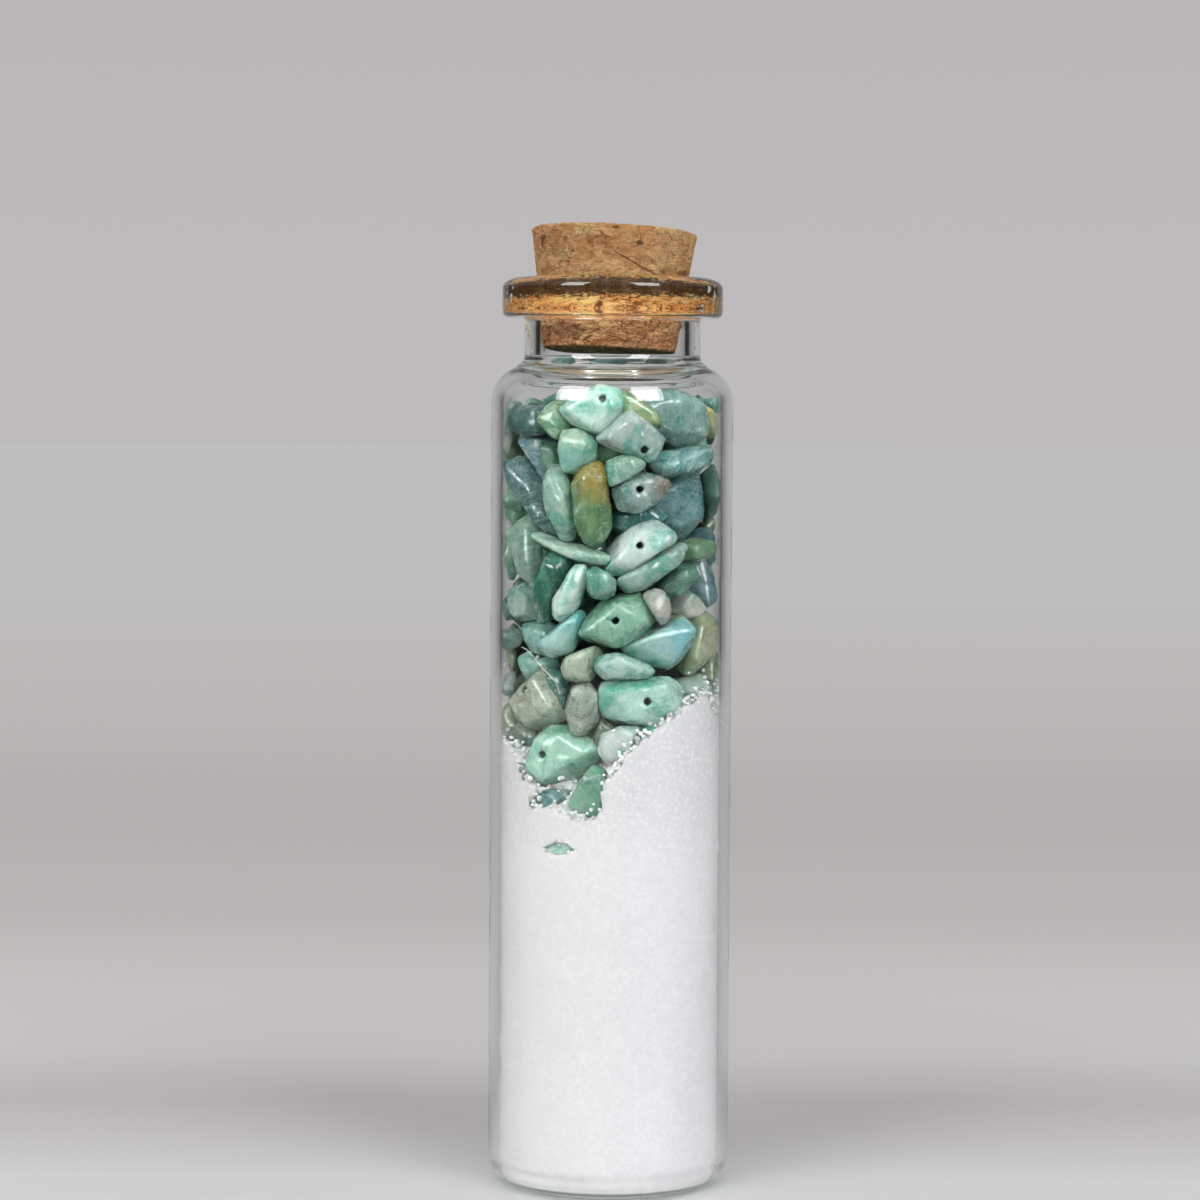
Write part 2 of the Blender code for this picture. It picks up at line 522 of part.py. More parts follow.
def clip(points, normal, distance):
    """The part of the hull of the points that lies below a plane."""
    if (points @ normal).max() <= distance:
        return points
    bm = hull(points)
    bmesh.ops.bisect_plane(
        bm, geom=bm.verts[:] + bm.edges[:] + bm.faces[:], dist=1e-9,
        plane_co=Vector(normal * distance), plane_no=Vector(normal), clear_outer=True,
    )
    kept = np.array([vert.co[:] for vert in bm.verts])
    bm.free()
    return kept


def separate(chips):
    """Flatten chips against each other and against the vial, so that none overlaps."""
    directions = sphere_directions(PARTING_DIRECTIONS)
    normals, distances = container_planes()
    upward = np.array((0.0, 0.0, 1.0))
    for chip in chips:
        chip.points = clip(chip.points, upward, BACK_TOP if chip.layer == FREE else CHIPS_TOP)
        for normal, distance in zip(normals, distances):
            chip.points = clip(chip.points, normal, distance)
    for first, chip in enumerate(chips):
        for other in chips[first + 1:]:
            overlap = (chip.points @ directions.T).max(axis=0) - (other.points @ directions.T).min(axis=0)
            best = int(overlap.argmin())
            if overlap[best] <= -CHIP_GAP:
                continue
            direction = directions[best]
            give = GIVES[chip.layer] / (GIVES[chip.layer] + GIVES[other.layer])
            middle = (chip.points @ direction).max() - overlap[best] * give
            chip.points = clip(chip.points, direction, middle - 0.5 * CHIP_GAP)
            other.points = clip(other.points, -direction, -(middle + 0.5 * CHIP_GAP))


def thin_out(points):
    """The points without those that crowd another."""
    kept = []
    for point in points:
        if all(np.linalg.norm(point - other) > CROWDED for other in kept):
            kept.append(point)
    return np.array(kept)


def build_chip(chip, collection, cutters, parent):
    bm = hull(thin_out(chip.points))
    bmesh.ops.dissolve_limit(bm, angle_limit=FLAT_ENOUGH, verts=bm.verts, edges=bm.edges)
    crease = bm.edges.layers.float.new("crease_edge")
    for edge in bm.edges:
        edge[crease] = CREASE
    name = "chip_" + chip.name
    obj = add_object(name, bm, collection, parent, material(name, chip.colour, 0.25))
    obj.data.shade_smooth()
    rounding = obj.modifiers.new("tumbled", "SUBSURF")
    rounding.levels = 1
    rounding.render_levels = 1
    if chip.hole is not None:
        drill = bmesh.new()
        bmesh.ops.create_cone(
            drill, cap_ends=True, segments=HOLE_SIDES,
            radius1=HOLE_RADIUS, radius2=HOLE_RADIUS, depth=DRILL_LENGTH,
        )
        along = Vector(chip.inward).to_track_quat("Z", "Y").to_matrix().to_4x4()
        drill.transform(Matrix.Translation(chip.hole) @ along)
        cut(obj, add_cutter("drill_" + chip.name, drill, cutters))
    return obj


def sand_level(x, y):
    """Height of the sand at a place inside the vial."""
    around = math.degrees(math.atan2(x, -y))
    angles = [entry[0] for entry in SAND_AT_WALL]
    levels = [entry[1] for entry in SAND_AT_WALL]
    at_wall = float(np.interp(around, angles + [180], levels + [levels[0]]))
    share = min(1.0, math.hypot(x, y) / FILL_RADIUS)
    return SAND_AT_MIDDLE + (at_wall - SAND_AT_MIDDLE) * share**SAND_BEND


def build_sand(chips, collection, cutters, parent):
    floor = FLOOR + 0.5 * PUSH_UP + GLASS_GAP
    rounding = FLOOR_FILLET - GLASS_GAP
    level = 0.5 * BODY_TOP
    outline = [(0.0, floor)]
    outline += arc((FILL_RADIUS - rounding, floor + rounding), rounding, -90, 0, 3)
    outline += [(FILL_RADIUS * share, level) for share in SAND_RINGS]
    bm = bmesh.new()
    verts = [bm.verts.new((radius, 0.0, height)) for radius, height in outline]
    edges = [bm.edges.new(pair) for pair in zip(verts, verts[1:])]
    bmesh.ops.spin(
        bm, geom=verts + edges, angle=2 * math.pi, steps=SAND_SECTORS, axis=(0, 0, 1), cent=(0, 0, 0),
    )
    bmesh.ops.remove_doubles(bm, verts=bm.verts, dist=0.001 * MM)
    for vert in bm.verts:
        if vert.co.z > level - 0.001 * MM:
            vert.co.z = sand_level(vert.co.x, vert.co.y)
    bmesh.ops.recalc_face_normals(bm, faces=bm.faces)
    sand = add_object("sand_fill", bm, collection, parent, material("white_sand", SAND_WHITE, 0.9))
    for chip in chips:
        lowest = chip.points[chip.points[:, 2].argmin()]
        if lowest[2] > sand_level(lowest[0], lowest[1]) + BED_REACH:
            continue
        bed = chip.points
        if np.hypot(bed[:, 0], bed[:, 1]).max() > FILL_RADIUS - SHOWS_WITHIN:
            bed = np.vstack((bed, bed - chip.inward * BED_REACH))
        cut(sand, add_cutter("bed_" + chip.name, hull(bed), cutters))
    return sand


def main():
    clear_scene()
    jar = bpy.data.collections.new("intention_jar")
    cutters = bpy.data.collections.new("cutters")
    bpy.context.scene.collection.children.link(jar)
    bpy.context.scene.collection.children.link(cutters)
    root = bpy.data.objects.new("jar", None)
    jar.objects.link(root)
    build_vial(jar, root)
    build_cork(jar, root)
    chips = [seen_chip(*row) for row in SEEN_CHIPS]
    chips += [hidden_chip(*row) for row in HIDDEN_CHIPS]
    settle(chips)
    separate(chips)
    for chip in chips:
        build_chip(chip, jar, cutters, root)
    build_sand(chips, jar, cutters, root)


main()
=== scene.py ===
"""Looks of the corked vial of white sand and amazonite chips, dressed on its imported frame.

Shapes are worked out in millimetres and put into the scene in metres.
"""

import itertools
import json
import math
import random
from dataclasses import dataclass

import bmesh
import bpy
import numpy as np
from mathutils import Euler, Matrix, Vector, noise
from mathutils.bvhtree import BVHTree


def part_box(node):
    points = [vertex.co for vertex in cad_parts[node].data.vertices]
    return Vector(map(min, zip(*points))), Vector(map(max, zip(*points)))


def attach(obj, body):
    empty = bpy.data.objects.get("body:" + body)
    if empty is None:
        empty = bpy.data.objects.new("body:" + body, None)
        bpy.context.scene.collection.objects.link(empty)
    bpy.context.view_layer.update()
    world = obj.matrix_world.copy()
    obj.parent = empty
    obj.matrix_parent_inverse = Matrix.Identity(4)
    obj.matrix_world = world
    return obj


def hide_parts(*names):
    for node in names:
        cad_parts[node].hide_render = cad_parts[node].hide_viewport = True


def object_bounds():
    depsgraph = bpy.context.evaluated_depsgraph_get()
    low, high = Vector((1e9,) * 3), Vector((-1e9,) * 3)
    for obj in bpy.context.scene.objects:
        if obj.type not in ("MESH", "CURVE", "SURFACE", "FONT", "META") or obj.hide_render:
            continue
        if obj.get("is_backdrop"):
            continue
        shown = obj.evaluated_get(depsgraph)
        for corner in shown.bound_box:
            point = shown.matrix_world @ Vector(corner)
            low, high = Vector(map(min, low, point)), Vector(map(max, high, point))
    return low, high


MM = 0.001

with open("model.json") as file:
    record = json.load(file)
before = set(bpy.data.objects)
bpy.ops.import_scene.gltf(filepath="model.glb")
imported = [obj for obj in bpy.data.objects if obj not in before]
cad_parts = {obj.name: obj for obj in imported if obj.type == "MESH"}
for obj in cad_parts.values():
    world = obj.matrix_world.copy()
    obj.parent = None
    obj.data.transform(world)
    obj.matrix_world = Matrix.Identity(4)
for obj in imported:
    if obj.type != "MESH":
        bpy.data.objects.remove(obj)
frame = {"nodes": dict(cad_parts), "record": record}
cad_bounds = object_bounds()
NODES = frame["nodes"]
SLOTS = {part["node"]: part["material_slot"] for part in frame["record"]["subparts"]}


def corners(name):
    """Lowest and highest corner of a CAD node, in millimetres."""
    low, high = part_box(name)
    return np.array(low) / MM, np.array(high) / MM


# Vial, in millimetres. Its radius and its top come from the frame.
VIAL_HIGH = corners("bottle")[1]
BODY_RADIUS = VIAL_HIGH[0]
LIP_TOP = VIAL_HIGH[2]
WALL = 1.05
SHOULDER_RADIUS = 3.35
NECK_RADIUS = 7.98
NECK_FILLET = 0.9
LIP_RADIUS = 10.0
LIP_HEIGHT = 3.65
NECK_LENGTH = 4.3
LIP_TOP_WIDE = 1.9
LIP_TOP_HIGH = 1.0
LIP_LOWER_ROUND = 0.6
MOUTH_ROUND = 0.6
BORE_ROUND = 1.1
HEEL_RADIUS = 2.6
REST_RING_INNER = 6.4
PUSH_UP = 0.5
FLOOR = 0.4
FLOOR_FILLET = 1.75
GLASS_SEGMENTS = 176

INNER_RADIUS = BODY_RADIUS - WALL
INNER_SHOULDER = SHOULDER_RADIUS - WALL
SHOULDER_CENTRE = BODY_RADIUS - SHOULDER_RADIUS
LIP_BOTTOM = LIP_TOP - LIP_HEIGHT
SHOULDER_TOP = LIP_BOTTOM - NECK_LENGTH
BODY_TOP = SHOULDER_TOP - SHOULDER_RADIUS

# Cork.
CORK_TOP_RADIUS = 7.5
CORK_LIP_RADIUS = 6.87
CORK_BOTTOM_RADIUS = 6.05
CORK_LENGTH = 10.9
CORK_PROUD = 4.2
CORK_ASIDE = -0.16
CORK_TILT = math.radians(2.4)
CORK_PITCH = math.radians(3.0)
CORK_PIVOT_DEPTH = 2.6
BORE_RADIUS = 6.6
CORK_EDGE = 0.35
# Depths of its seams, of the crumbs that fell out, and of its grain.
CORK_SEAM = 0.11
CORK_FALLEN = 0.6
CORK_GRAIN = 0.04
CORK_SEGMENTS = 220
# Without a seed, noise_vector takes the clock's, and the granules differ from run to run.
CORK_SEED = 11
# The cork is squeezed against the glass from this height up, and this deep into its face.
SQUEEZE_FROM = LIP_BOTTOM + 0.2
SQUEEZE_TO = LIP_TOP - 0.35
SQUEEZE = 0.07

# Sand level at points round the wall: degrees from the front towards +X, and height.
SAND_AT_WALL = (
    (-180, 43.5), (-130, 41.8), (-90, 40.4), (-58, 40.0), (-44, 36.0), (-22, 33.6),
    (-6, 34.4), (4, 38.8), (22, 41.6), (48, 44.6), (90, 45.0), (135, 44.5),
)
SAND_AT_MIDDLE = 41.0
# How sharply the level changes near the wall.
SAND_BEND = 1.5
# The CAD keeps this much clearance between the sand and the chips.
CLOSES_GAP = 0.4
# Beads against the glass reach this far above and below the sand's level.
BEADS_UP_TO = 0.6
BEADS_DOWN_TO = 1.3
BEAD_RADIUS = 0.23
BEAD_STEP = 0.47

# The CAD's sand and chips keep the first gap from the glass, and those of the visual the second.
FILL_GAP = 0.3
GLASS_GAP = 0.04
FILL_RADIUS = INNER_RADIUS - FILL_GAP
TOUCHES_GLASS = INNER_RADIUS - GLASS_GAP
SAND_BOTTOM = FLOOR + 0.05
SAND_VOXEL = 0.26
SMOOTHING = 0.5
# Stands in for no length, so that it can be divided by.
NEAR_NOTHING = 0.001


def linear(channel):
    """A screen colour channel from 0 to 255 as a linear one from 0 to 1."""
    value = channel / 255
    return value / 12.92 if value <= 0.04045 else ((value + 0.055) / 1.055) ** 2.4


def paint(rgb):
    """A screen colour as a linear one."""
    return (*(linear(channel) for channel in rgb), 1.0)


def arc(centre, radius, start, end, steps):
    """Points (radius, height) on an arc, from one angle in degrees to the other."""
    angles = [math.radians(start + (end - start) * step / steps) for step in range(steps + 1)]
    return [(centre[0] + radius * math.cos(a), centre[1] + radius * math.sin(a)) for a in angles]


def round_axis(reach, angle, height):
    """The point that far from the axis, at an angle from the front towards +X."""
    return np.array((reach * math.sin(angle), -reach * math.cos(angle), height))


def reaches(points):
    """Distance of each point from the axis."""
    return np.hypot(points[:, 0], points[:, 1])


def link(piece):
    """Puts an object into the scene."""
    bpy.context.scene.collection.objects.link(piece)
    return piece


# Mesh helpers.


def add_piece(name, points, faces, material, body, slot):
    """A smooth mesh from points in millimetres, riding on a body."""
    mesh = bpy.data.meshes.new(name)
    mesh.from_pydata((np.asarray(points) * MM).tolist(), [], [list(face) for face in faces])
    mesh.validate()
    mesh.shade_smooth()
    mesh.materials.append(material)
    piece = link(bpy.data.objects.new(name, mesh))
    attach(piece, body)
    return piece


def even_mesh(points, faces, voxel, rounds):
    """The solid's surface as a mesh of even small faces, smoothed that often: points, faces and normals."""
    mesh = bpy.data.meshes.new("work")
    mesh.from_pydata(np.asarray(points).tolist(), [], faces)
    obj = link(bpy.data.objects.new("work", mesh))
    remesh = obj.modifiers.new("even", "REMESH")
    remesh.mode = "VOXEL"
    remesh.voxel_size = voxel
    smooth = obj.modifiers.new("soften", "SMOOTH")
    smooth.factor = SMOOTHING
    smooth.iterations = rounds
    graph = bpy.context.evaluated_depsgraph_get()
    made = bpy.data.meshes.new_from_object(obj.evaluated_get(graph))
    found = np.array([vert.co[:] for vert in made.vertices])
    normals = np.array([normal.vector[:] for normal in made.vertex_normals])
    polygons = [tuple(polygon.vertices) for polygon in made.polygons]
    bpy.data.objects.remove(obj)
    bpy.data.meshes.remove(mesh)
    bpy.data.meshes.remove(made)
    return found, polygons, normals


def solid_of(node):
    """Points in millimetres and faces of a CAD node, with the points of one place joined."""
    mesh = NODES[node].data
    keys = {}
    index = []
    for vert in mesh.vertices:
        key = tuple(np.round(np.array(vert.co[:]) / MM, 4))
        index.append(keys.setdefault(key, len(keys)))
    faces = [tuple(index[vert] for vert in polygon.vertices) for polygon in mesh.polygons]
    return np.array(list(keys)), [face for face in faces if len(set(face)) == len(face)]


def waves(points, size, shift):
    """Smooth noise from -1 to 1 at each point, with bumps of about that size."""
    moved = np.asarray(points) / size + shift
    return np.array([noise.noise(Vector(point)) for point in moved])


def turned(profile, segments):
    """Points and faces of a profile (radius, height) turned about Z. Its ends lie on the axis."""
    around = np.linspace(0, 2 * math.pi, segments, endpoint=False)
    inner = profile[1:-1]
    cos, sin = np.cos(around), np.sin(around)
    rings = [np.column_stack((r * cos, r * sin, np.full(segments, z))) for r, z in inner]
    points = np.vstack([[(0, 0, profile[0][1])]] + rings + [[(0, 0, profile[-1][1])]])
    steps = [(step, (step + 1) % segments) for step in range(segments)]
    faces = []
    for start in range(1, 1 + (len(inner) - 1) * segments, segments):
        faces += [(start + a, start + segments + a, start + segments + b, start + b) for a, b in steps]
    last = len(points) - 1
    final = last - segments
    for a, b in steps:
        faces += [(0, 1 + a, 1 + b), (last, final + b, final + a)]
    return points, faces


# Material helpers.


def new_tree(name):
    """A material and its empty node tree."""
    material = bpy.data.materials.new(name)
    material.use_nodes = True
    material.node_tree.nodes.clear()
    return material, material.node_tree


def node(tree, kind, inputs=None, **settings):
    """A shader node of a kind, with its settings and its inputs: values or other nodes' outputs."""
    made = tree.nodes.new("ShaderNode" + kind)
    for key, value in settings.items():
        setattr(made, key, value)
    for key, value in (inputs or {}).items():
        if isinstance(value, bpy.types.NodeSocket):
            tree.links.new(value, made.inputs[key])
        else:
            made.inputs[key].default_value = value
    return made


def mapped(tree, place, shift=(0, 0, 0), turn=(0, 0, 0), stretch=(1, 1, 1)):
    """Coordinates stretched, turned and then shifted."""
    return node(tree, "Mapping", {
        "Vector": place, "Location": shift, "Rotation": turn, "Scale": stretch,
    }).outputs[0]


def in_mm(tree, shift=(0, 0, 0), turn=(0, 0, 0), stretch=(1, 1, 1)):
    """Object coordinates in millimetres, stretched, turned and then shifted."""
    place = node(tree, "TexCoord").outputs["Object"]
    return mapped(tree, place, shift, turn, tuple(value / MM for value in stretch))


def split(tree, place):
    """The X, Y and Z of coordinates."""
    return node(tree, "SeparateXYZ", {0: place}).outputs


def noise_at(tree, place, scale, detail, roughness=0.55, distortion=0.0):
    return node(tree, "TexNoise", {
        "Vector": place, "Scale": scale, "Detail": detail, "Roughness": roughness, "Distortion": distortion,
    }).outputs["Fac"]


def spread(tree, value, low, high, to_low=0.0, to_high=1.0):
    """The value's stretch from low to high, mapped to another and held there."""
    return node(tree, "MapRange", {
        "Value": value, "From Min": low, "From Max": high, "To Min": to_low, "To Max": to_high,
    }, interpolation_type="SMOOTHSTEP").outputs["Result"]


def between(tree, value, start, full, fading, end, most=1.0):
    """A share that rises where the value goes from start to full, and falls from fading to end."""
    return times(tree, spread(tree, value, start, full), spread(tree, value, fading, end, most, 0.0))


def maths(tree, how, *values):
    """The result of a sum on values."""
    return node(tree, "Math", dict(enumerate(values)), operation=how).outputs[0]


def vector_maths(tree, how, *values):
    """The outputs of a sum on vectors: the first is a vector, and 'Value' a number."""
    return node(tree, "VectorMath", dict(enumerate(values)), operation=how).outputs


def times(tree, first, second):
    return maths(tree, "MULTIPLY", first, second)


def blend(tree, share, first, second, how="MIX"):
    """One colour over another. Each is an output, a screen colour of 3 channels or a linear one of 4."""
    sides = [paint(side) if isinstance(side, tuple) and len(side) == 3 else side for side in (first, second)]
    return node(tree, "Mix", {0: share, 6: sides[0], 7: sides[1]},
                data_type="RGBA", blend_type=how).outputs[2]


def over(tree, under, value, low, high, share, colour):
    """A colour over another: none of it where the value is low, and that share where it is high."""
    return blend(tree, spread(tree, value, low, high, 0.0, share), under, colour)


def bumps(tree, *layers):
    """A normal from layers of (height, strength, distance in millimetres), each over the one before."""
    normal = None
    for height, strength, distance in layers:
        inputs = {"Height": height, "Strength": strength, "Distance": distance * MM}
        if normal is not None:
            inputs["Normal"] = normal
        normal = node(tree, "Bump", inputs).outputs["Normal"]
    return normal


def finish_with(tree, shader, **inputs):
    """Ends a tree in a shader node's output."""
    node(tree, "OutputMaterial", {"Surface": shader.outputs[0], **inputs})


def finish_coat(tree, inputs):
    """Ends a tree in a principled shader."""
    finish_with(tree, node(tree, "BsdfPrincipled", inputs))


def mix_shaders(tree, share, first, second):
    return node(tree, "MixShader", {0: share, 1: first.outputs[0], 2: second.outputs[0]})


# Materials.


def glass_material():
    """Clear glass with a faint ripple and a greenish depth, whose shadow is light."""
    material, tree = new_tree("vial_glass")
    ripple = noise_at(tree, in_mm(tree), 0.35, 1.0)
    glass = node(tree, "BsdfPrincipled", {
        "Base Color": (1.0, 1.0, 1.0, 1.0), "Roughness": 0.0, "IOR": 1.51,
        "Transmission Weight": 1.0, "Normal": bumps(tree, (ripple, 0.03, 0.4)),
    })
    clear = node(tree, "BsdfTransparent", {"Color": (0.98, 0.98, 0.98, 1.0)})
    shadow = node(tree, "LightPath").outputs["Is Shadow Ray"]
    tint = node(tree, "VolumeAbsorption", {"Color": (0.62, 0.9, 0.78, 1.0), "Density": 45.0})
    finish_with(tree, mix_shaders(tree, shadow, glass, clear), Volume=tint.outputs[0])
    return material


def ridges(tree, place, scale, width, detail, distortion):
    """Thin wandering lines, 1 on the line and 0 beside it."""
    value = noise_at(tree, place, scale, detail, 0.6, distortion)
    away = maths(tree, "ABSOLUTE", maths(tree, "SUBTRACT", value, 0.5))
    return spread(tree, away, 0.0, width, 1.0, 0.0)


# Flakes, and pits and fibres, on the cork's front, with a few painted highlights among them: across and up
# from the axis and the base, half length, half height, degrees that it rises to the right, colour, and share
# of it.
CORK_FLAKES_AND_HIGHLIGHT = (
    (-2.8, 86.3, 0.8, 0.45, 0, (240, 212, 168), 0.85), (-1.2, 85.6, 1.35, 0.5, 0, (196, 136, 102), 0.7),
    (-4.2, 84.3, 0.6, 0.45, 0, (206, 186, 146), 0.7), (0.1, 83.4, 1.7, 0.5, -33, (244, 198, 158), 0.9),
    (-2.7, 83.2, 0.9, 0.5, 12, (232, 188, 142), 0.7), (1.5, 85.5, 0.7, 0.35, -8, (232, 190, 142), 0.6),
    # The pale mark at 3.7 across and 83.3 up is a painted highlight.
    (3.7, 83.3, 0.4, 0.26, 30, (250, 216, 160), 0.8), (2.2, 84.2, 1.6, 0.3, -20, (180, 128, 98), 0.5),
    (4.6, 84.6, 0.9, 0.6, 10, (204, 160, 124), 0.5), (-5.8, 83.0, 0.8, 0.3, 0, (160, 108, 60), 0.6),
    (-5.3, 85.4, 0.8, 1.3, 0, (184, 142, 98), 0.6), (-3.8, 77.6, 1.7, 0.6, 0, (150, 122, 98), 0.6),
    (-1.1, 76.6, 2.1, 0.28, 8, (212, 148, 84), 0.7), (2.7, 76.5, 1.9, 0.4, 0, (220, 172, 138), 0.7),
    (0.5, 77.4, 1.8, 0.14, -14, (238, 198, 156), 0.7),
)
CORK_PITS_AND_HIGHLIGHTS = (
    (2.4, 85.4, 0.28, 0.3, 40, (92, 54, 30), 0.8), (-6.3, 85.7, 0.6, 0.2, 80, (78, 56, 44), 0.7),
    (0.3, 86.7, 0.35, 0.12, 0, (112, 68, 40), 0.8), (-4.1, 83.75, 0.3, 0.09, 0, (84, 52, 30), 0.9),
    (6.3, 82.8, 0.6, 0.26, 0, (112, 68, 38), 0.7), (1.0, 84.1, 1.1, 0.06, -28, (122, 72, 42), 0.75),
    (1.9, 83.6, 1.4, 0.06, -30, (116, 64, 38), 0.75), (2.9, 83.05, 1.1, 0.13, -26, (142, 80, 48), 0.75),
    # The pale and bright marks between 79.8 and 80.6 up, in the lip, are painted highlights; the dark ones
    # there are cracks.
    (-1.05, 79.9, 0.3, 0.34, 0, (124, 62, 22), 0.9), (-1.8, 80.2, 0.8, 0.36, 25, (255, 226, 160), 0.6),
    (-3.8, 80.3, 0.9, 0.32, 10, (250, 214, 142), 0.5), (-0.3, 79.8, 0.5, 0.4, -30, (252, 206, 150), 0.7),
    (2.6, 80.6, 1.1, 0.2, -8, (246, 206, 140), 0.5), (1.9, 79.9, 0.5, 0.2, 20, (150, 86, 40), 0.7),
    (0.2, 77.0, 1.7, 0.035, -18, (92, 56, 34), 0.8), (-2.2, 76.9, 0.5, 0.1, 30, (96, 58, 34), 0.8),
)


def with_marks(tree, colour, marks, place, rough, front):
    """The colour with marks on the cork's front, each with a ragged edge."""
    for across, up, long, high, rise, paint_over, share in marks:
        local = mapped(tree, vector_maths(tree, "SUBTRACT", place, (across, 0.0, up))[0],
                       turn=(0.0, math.radians(rise), 0.0))
        flat = vector_maths(tree, "MULTIPLY", local, (1 / long, 0.0, 1 / high))[0]
        ragged = maths(tree, "ADD", vector_maths(tree, "LENGTH", flat)["Value"], rough)
        inside = spread(tree, ragged, 1.3, 0.7, 0.0, share)
        colour = blend(tree, times(tree, inside, front), colour, paint_over)
    return colour


CRUMB_SCALE = 0.62


def cork_dark(tree, bent, worn):
    """Share of seams, cracks and pits between the crumbs."""
    edges = node(tree, "TexVoronoi", {"Vector": bent, "Scale": CRUMB_SCALE},
                 feature="DISTANCE_TO_EDGE").outputs["Distance"]
    seam = times(tree, spread(tree, edges, 0.05, 0.0), spread(tree, worn, 0.5, 0.6))
    cracks = ridges(tree, in_mm(tree, shift=(4, 4, 4), stretch=(0.8, 0.8, 1.3)), 0.9, 0.02, 6.0, 1.6)
    cracks = times(tree, cracks, spread(tree, worn, 0.52, 0.44))
    pit = noise_at(tree, in_mm(tree, shift=(2, 9, 4), stretch=(0.8, 0.8, 1.6)), 1.5, 5.0, 0.72, 0.8)
    dark = maths(tree, "MAXIMUM", times(tree, seam, 0.8), times(tree, cracks, 0.8))
    return maths(tree, "MAXIMUM", dark, spread(tree, pit, 0.6, 0.67))


def cork_material():
    """Pressed cork: bark crumbs of several tans, dark seams and pits between them, fibres and flakes.

    It is veined in the neck. Light and shade are painted into it: a brighter golden where the lip holds it,
    its pressed colour with painted light that the lip focuses onto it; a dark band of painted shade at the
    lip's top; lighter above the lip and darker within the glass; and a dark olive painted shade on its
    underside.
    """
    material, tree = new_tree("cork")
    place = in_mm(tree)
    parts = split(tree, place)
    height = parts["Z"]
    warp = node(tree, "TexNoise", {"Vector": place, "Scale": 0.9, "Detail": 3.0}).outputs["Color"]
    bent = vector_maths(tree, "ADD", place, warp)[0]
    crumbs = node(tree, "TexVoronoi", {"Vector": bent, "Scale": CRUMB_SCALE})
    tone = node(tree, "SeparateColor", {0: crumbs.outputs["Color"]}).outputs
    rough = spread(tree, noise_at(tree, place, 1.3, 4.0, 0.65), 0.3, 0.7, -0.45, 0.45)
    front = spread(tree, parts["Y"], 0.0, -0.5)
    broad = noise_at(tree, in_mm(tree, turn=(0.3, 0.5, 0.1), stretch=(0.7, 0.7, 1.5)), 0.6, 5.0, 0.65, 1.2)
    grain = noise_at(tree, in_mm(tree, (1, 6, 2), (0.1, 0.5, 0.0), (1.0, 1.0, 3.0)), 1.2, 8.0, 0.74, 1.4)
    fine = noise_at(tree, place, 7.0, 5.0, 0.75)
    worn = noise_at(tree, in_mm(tree, shift=(3, 1, 8)), 0.55, 3.0, 0.6)
    dark = cork_dark(tree, bent, worn)

    tan = blend(tree, spread(tree, tone[0], 0.1, 0.9), (222, 168, 122), (246, 202, 154))
    tan = over(tree, tan, tone[1], 0.5, 0.8, 0.5, (234, 178, 142))
    tan = over(tree, tan, tone[2], 0.7, 0.9, 0.5, (242, 208, 160))
    tan = over(tree, tan, tone[2], 0.25, 0.1, 0.5, (190, 134, 90))
    tan = with_marks(tree, tan, CORK_FLAKES_AND_HIGHLIGHT, place, rough, front)
    tan = over(tree, tan, broad, 0.6, 0.4, 0.5, (186, 130, 86))
    tan = over(tree, tan, grain, 0.53, 0.63, 0.8, (142, 88, 50))
    tan = over(tree, tan, grain, 0.45, 0.36, 0.65, (255, 220, 174))
    tan = over(tree, tan, fine, 0.42, 0.68, 0.42, (146, 100, 66))
    tan = blend(tree, times(tree, dark, 0.75), tan, (104, 60, 34))

    wavy = maths(tree, "ADD", height, times(tree, broad, 2.0))
    gripped = between(tree, wavy, SQUEEZE_FROM + 0.6, SQUEEZE_FROM + 1.1, LIP_TOP + 0.6, LIP_TOP + 0.9)
    # Painted light: where the lip holds the cork it is a brighter golden, its pressed colour with the light
    # that the lip focuses onto it.
    pressed = blend(tree, spread(tree, broad, 0.4, 0.6), (255, 184, 112), (255, 208, 146))
    pressed = over(tree, pressed, grain, 0.48, 0.56, 0.9, (176, 98, 40))
    pressed = blend(tree, times(tree, dark, 0.9), pressed, (96, 46, 14))
    tan = blend(tree, times(tree, gripped, 0.8), tan, pressed)
    tan = with_marks(tree, tan, CORK_PITS_AND_HIGHLIGHTS, place, rough, front)

    # Painted shade: a dark band across the cork at the lip's top, where the lip lets little light reach it.
    ragged = maths(tree, "ADD", height, times(tree, grain, 2.6))
    painted_lip_shade = between(tree, ragged, LIP_TOP - 0.75, LIP_TOP - 0.35, LIP_TOP + 1.0, LIP_TOP + 1.4)
    lip_shade_colour = blend(tree, spread(tree, fine, 0.4, 0.6), (112, 80, 40), (48, 30, 12))
    lip_shade_colour = over(tree, lip_shade_colour, worn, 0.5, 0.6, 0.6, (112, 90, 74))
    lip_shade_colour = over(tree, lip_shade_colour, grain, 0.46, 0.36, 0.7, (170, 128, 64))
    tan = blend(tree, times(tree, painted_lip_shade, 0.88), tan, lip_shade_colour)

    in_neck = spread(tree, height, LIP_BOTTOM + 0.2, LIP_BOTTOM - 0.2)
    veined = times(tree, in_neck, spread(tree, grain, 0.49, 0.58, 0.0, 0.6))
    tan = blend(tree, veined, tan, (112, 66, 36))
    tan = blend(tree, times(tree, in_neck, times(tree, dark, 0.7)), tan, (70, 36, 18))
    # Painted light and shade: the cork above the lip is made lighter, and the cork within the glass darker,
    # than its own colour.
    free = spread(tree, height, LIP_TOP - 0.2, LIP_TOP + 0.1)
    tan = node(tree, "Gamma", {0: tan, 1: spread(tree, free, 0.0, 1.0, 1.27, 1.15)}).outputs[0]
    tan = blend(tree, 1.0, tan, blend(tree, free, (1.0, 1.0, 1.0, 1.0), (1.16, 1.25, 1.14, 1.0)), "MULTIPLY")
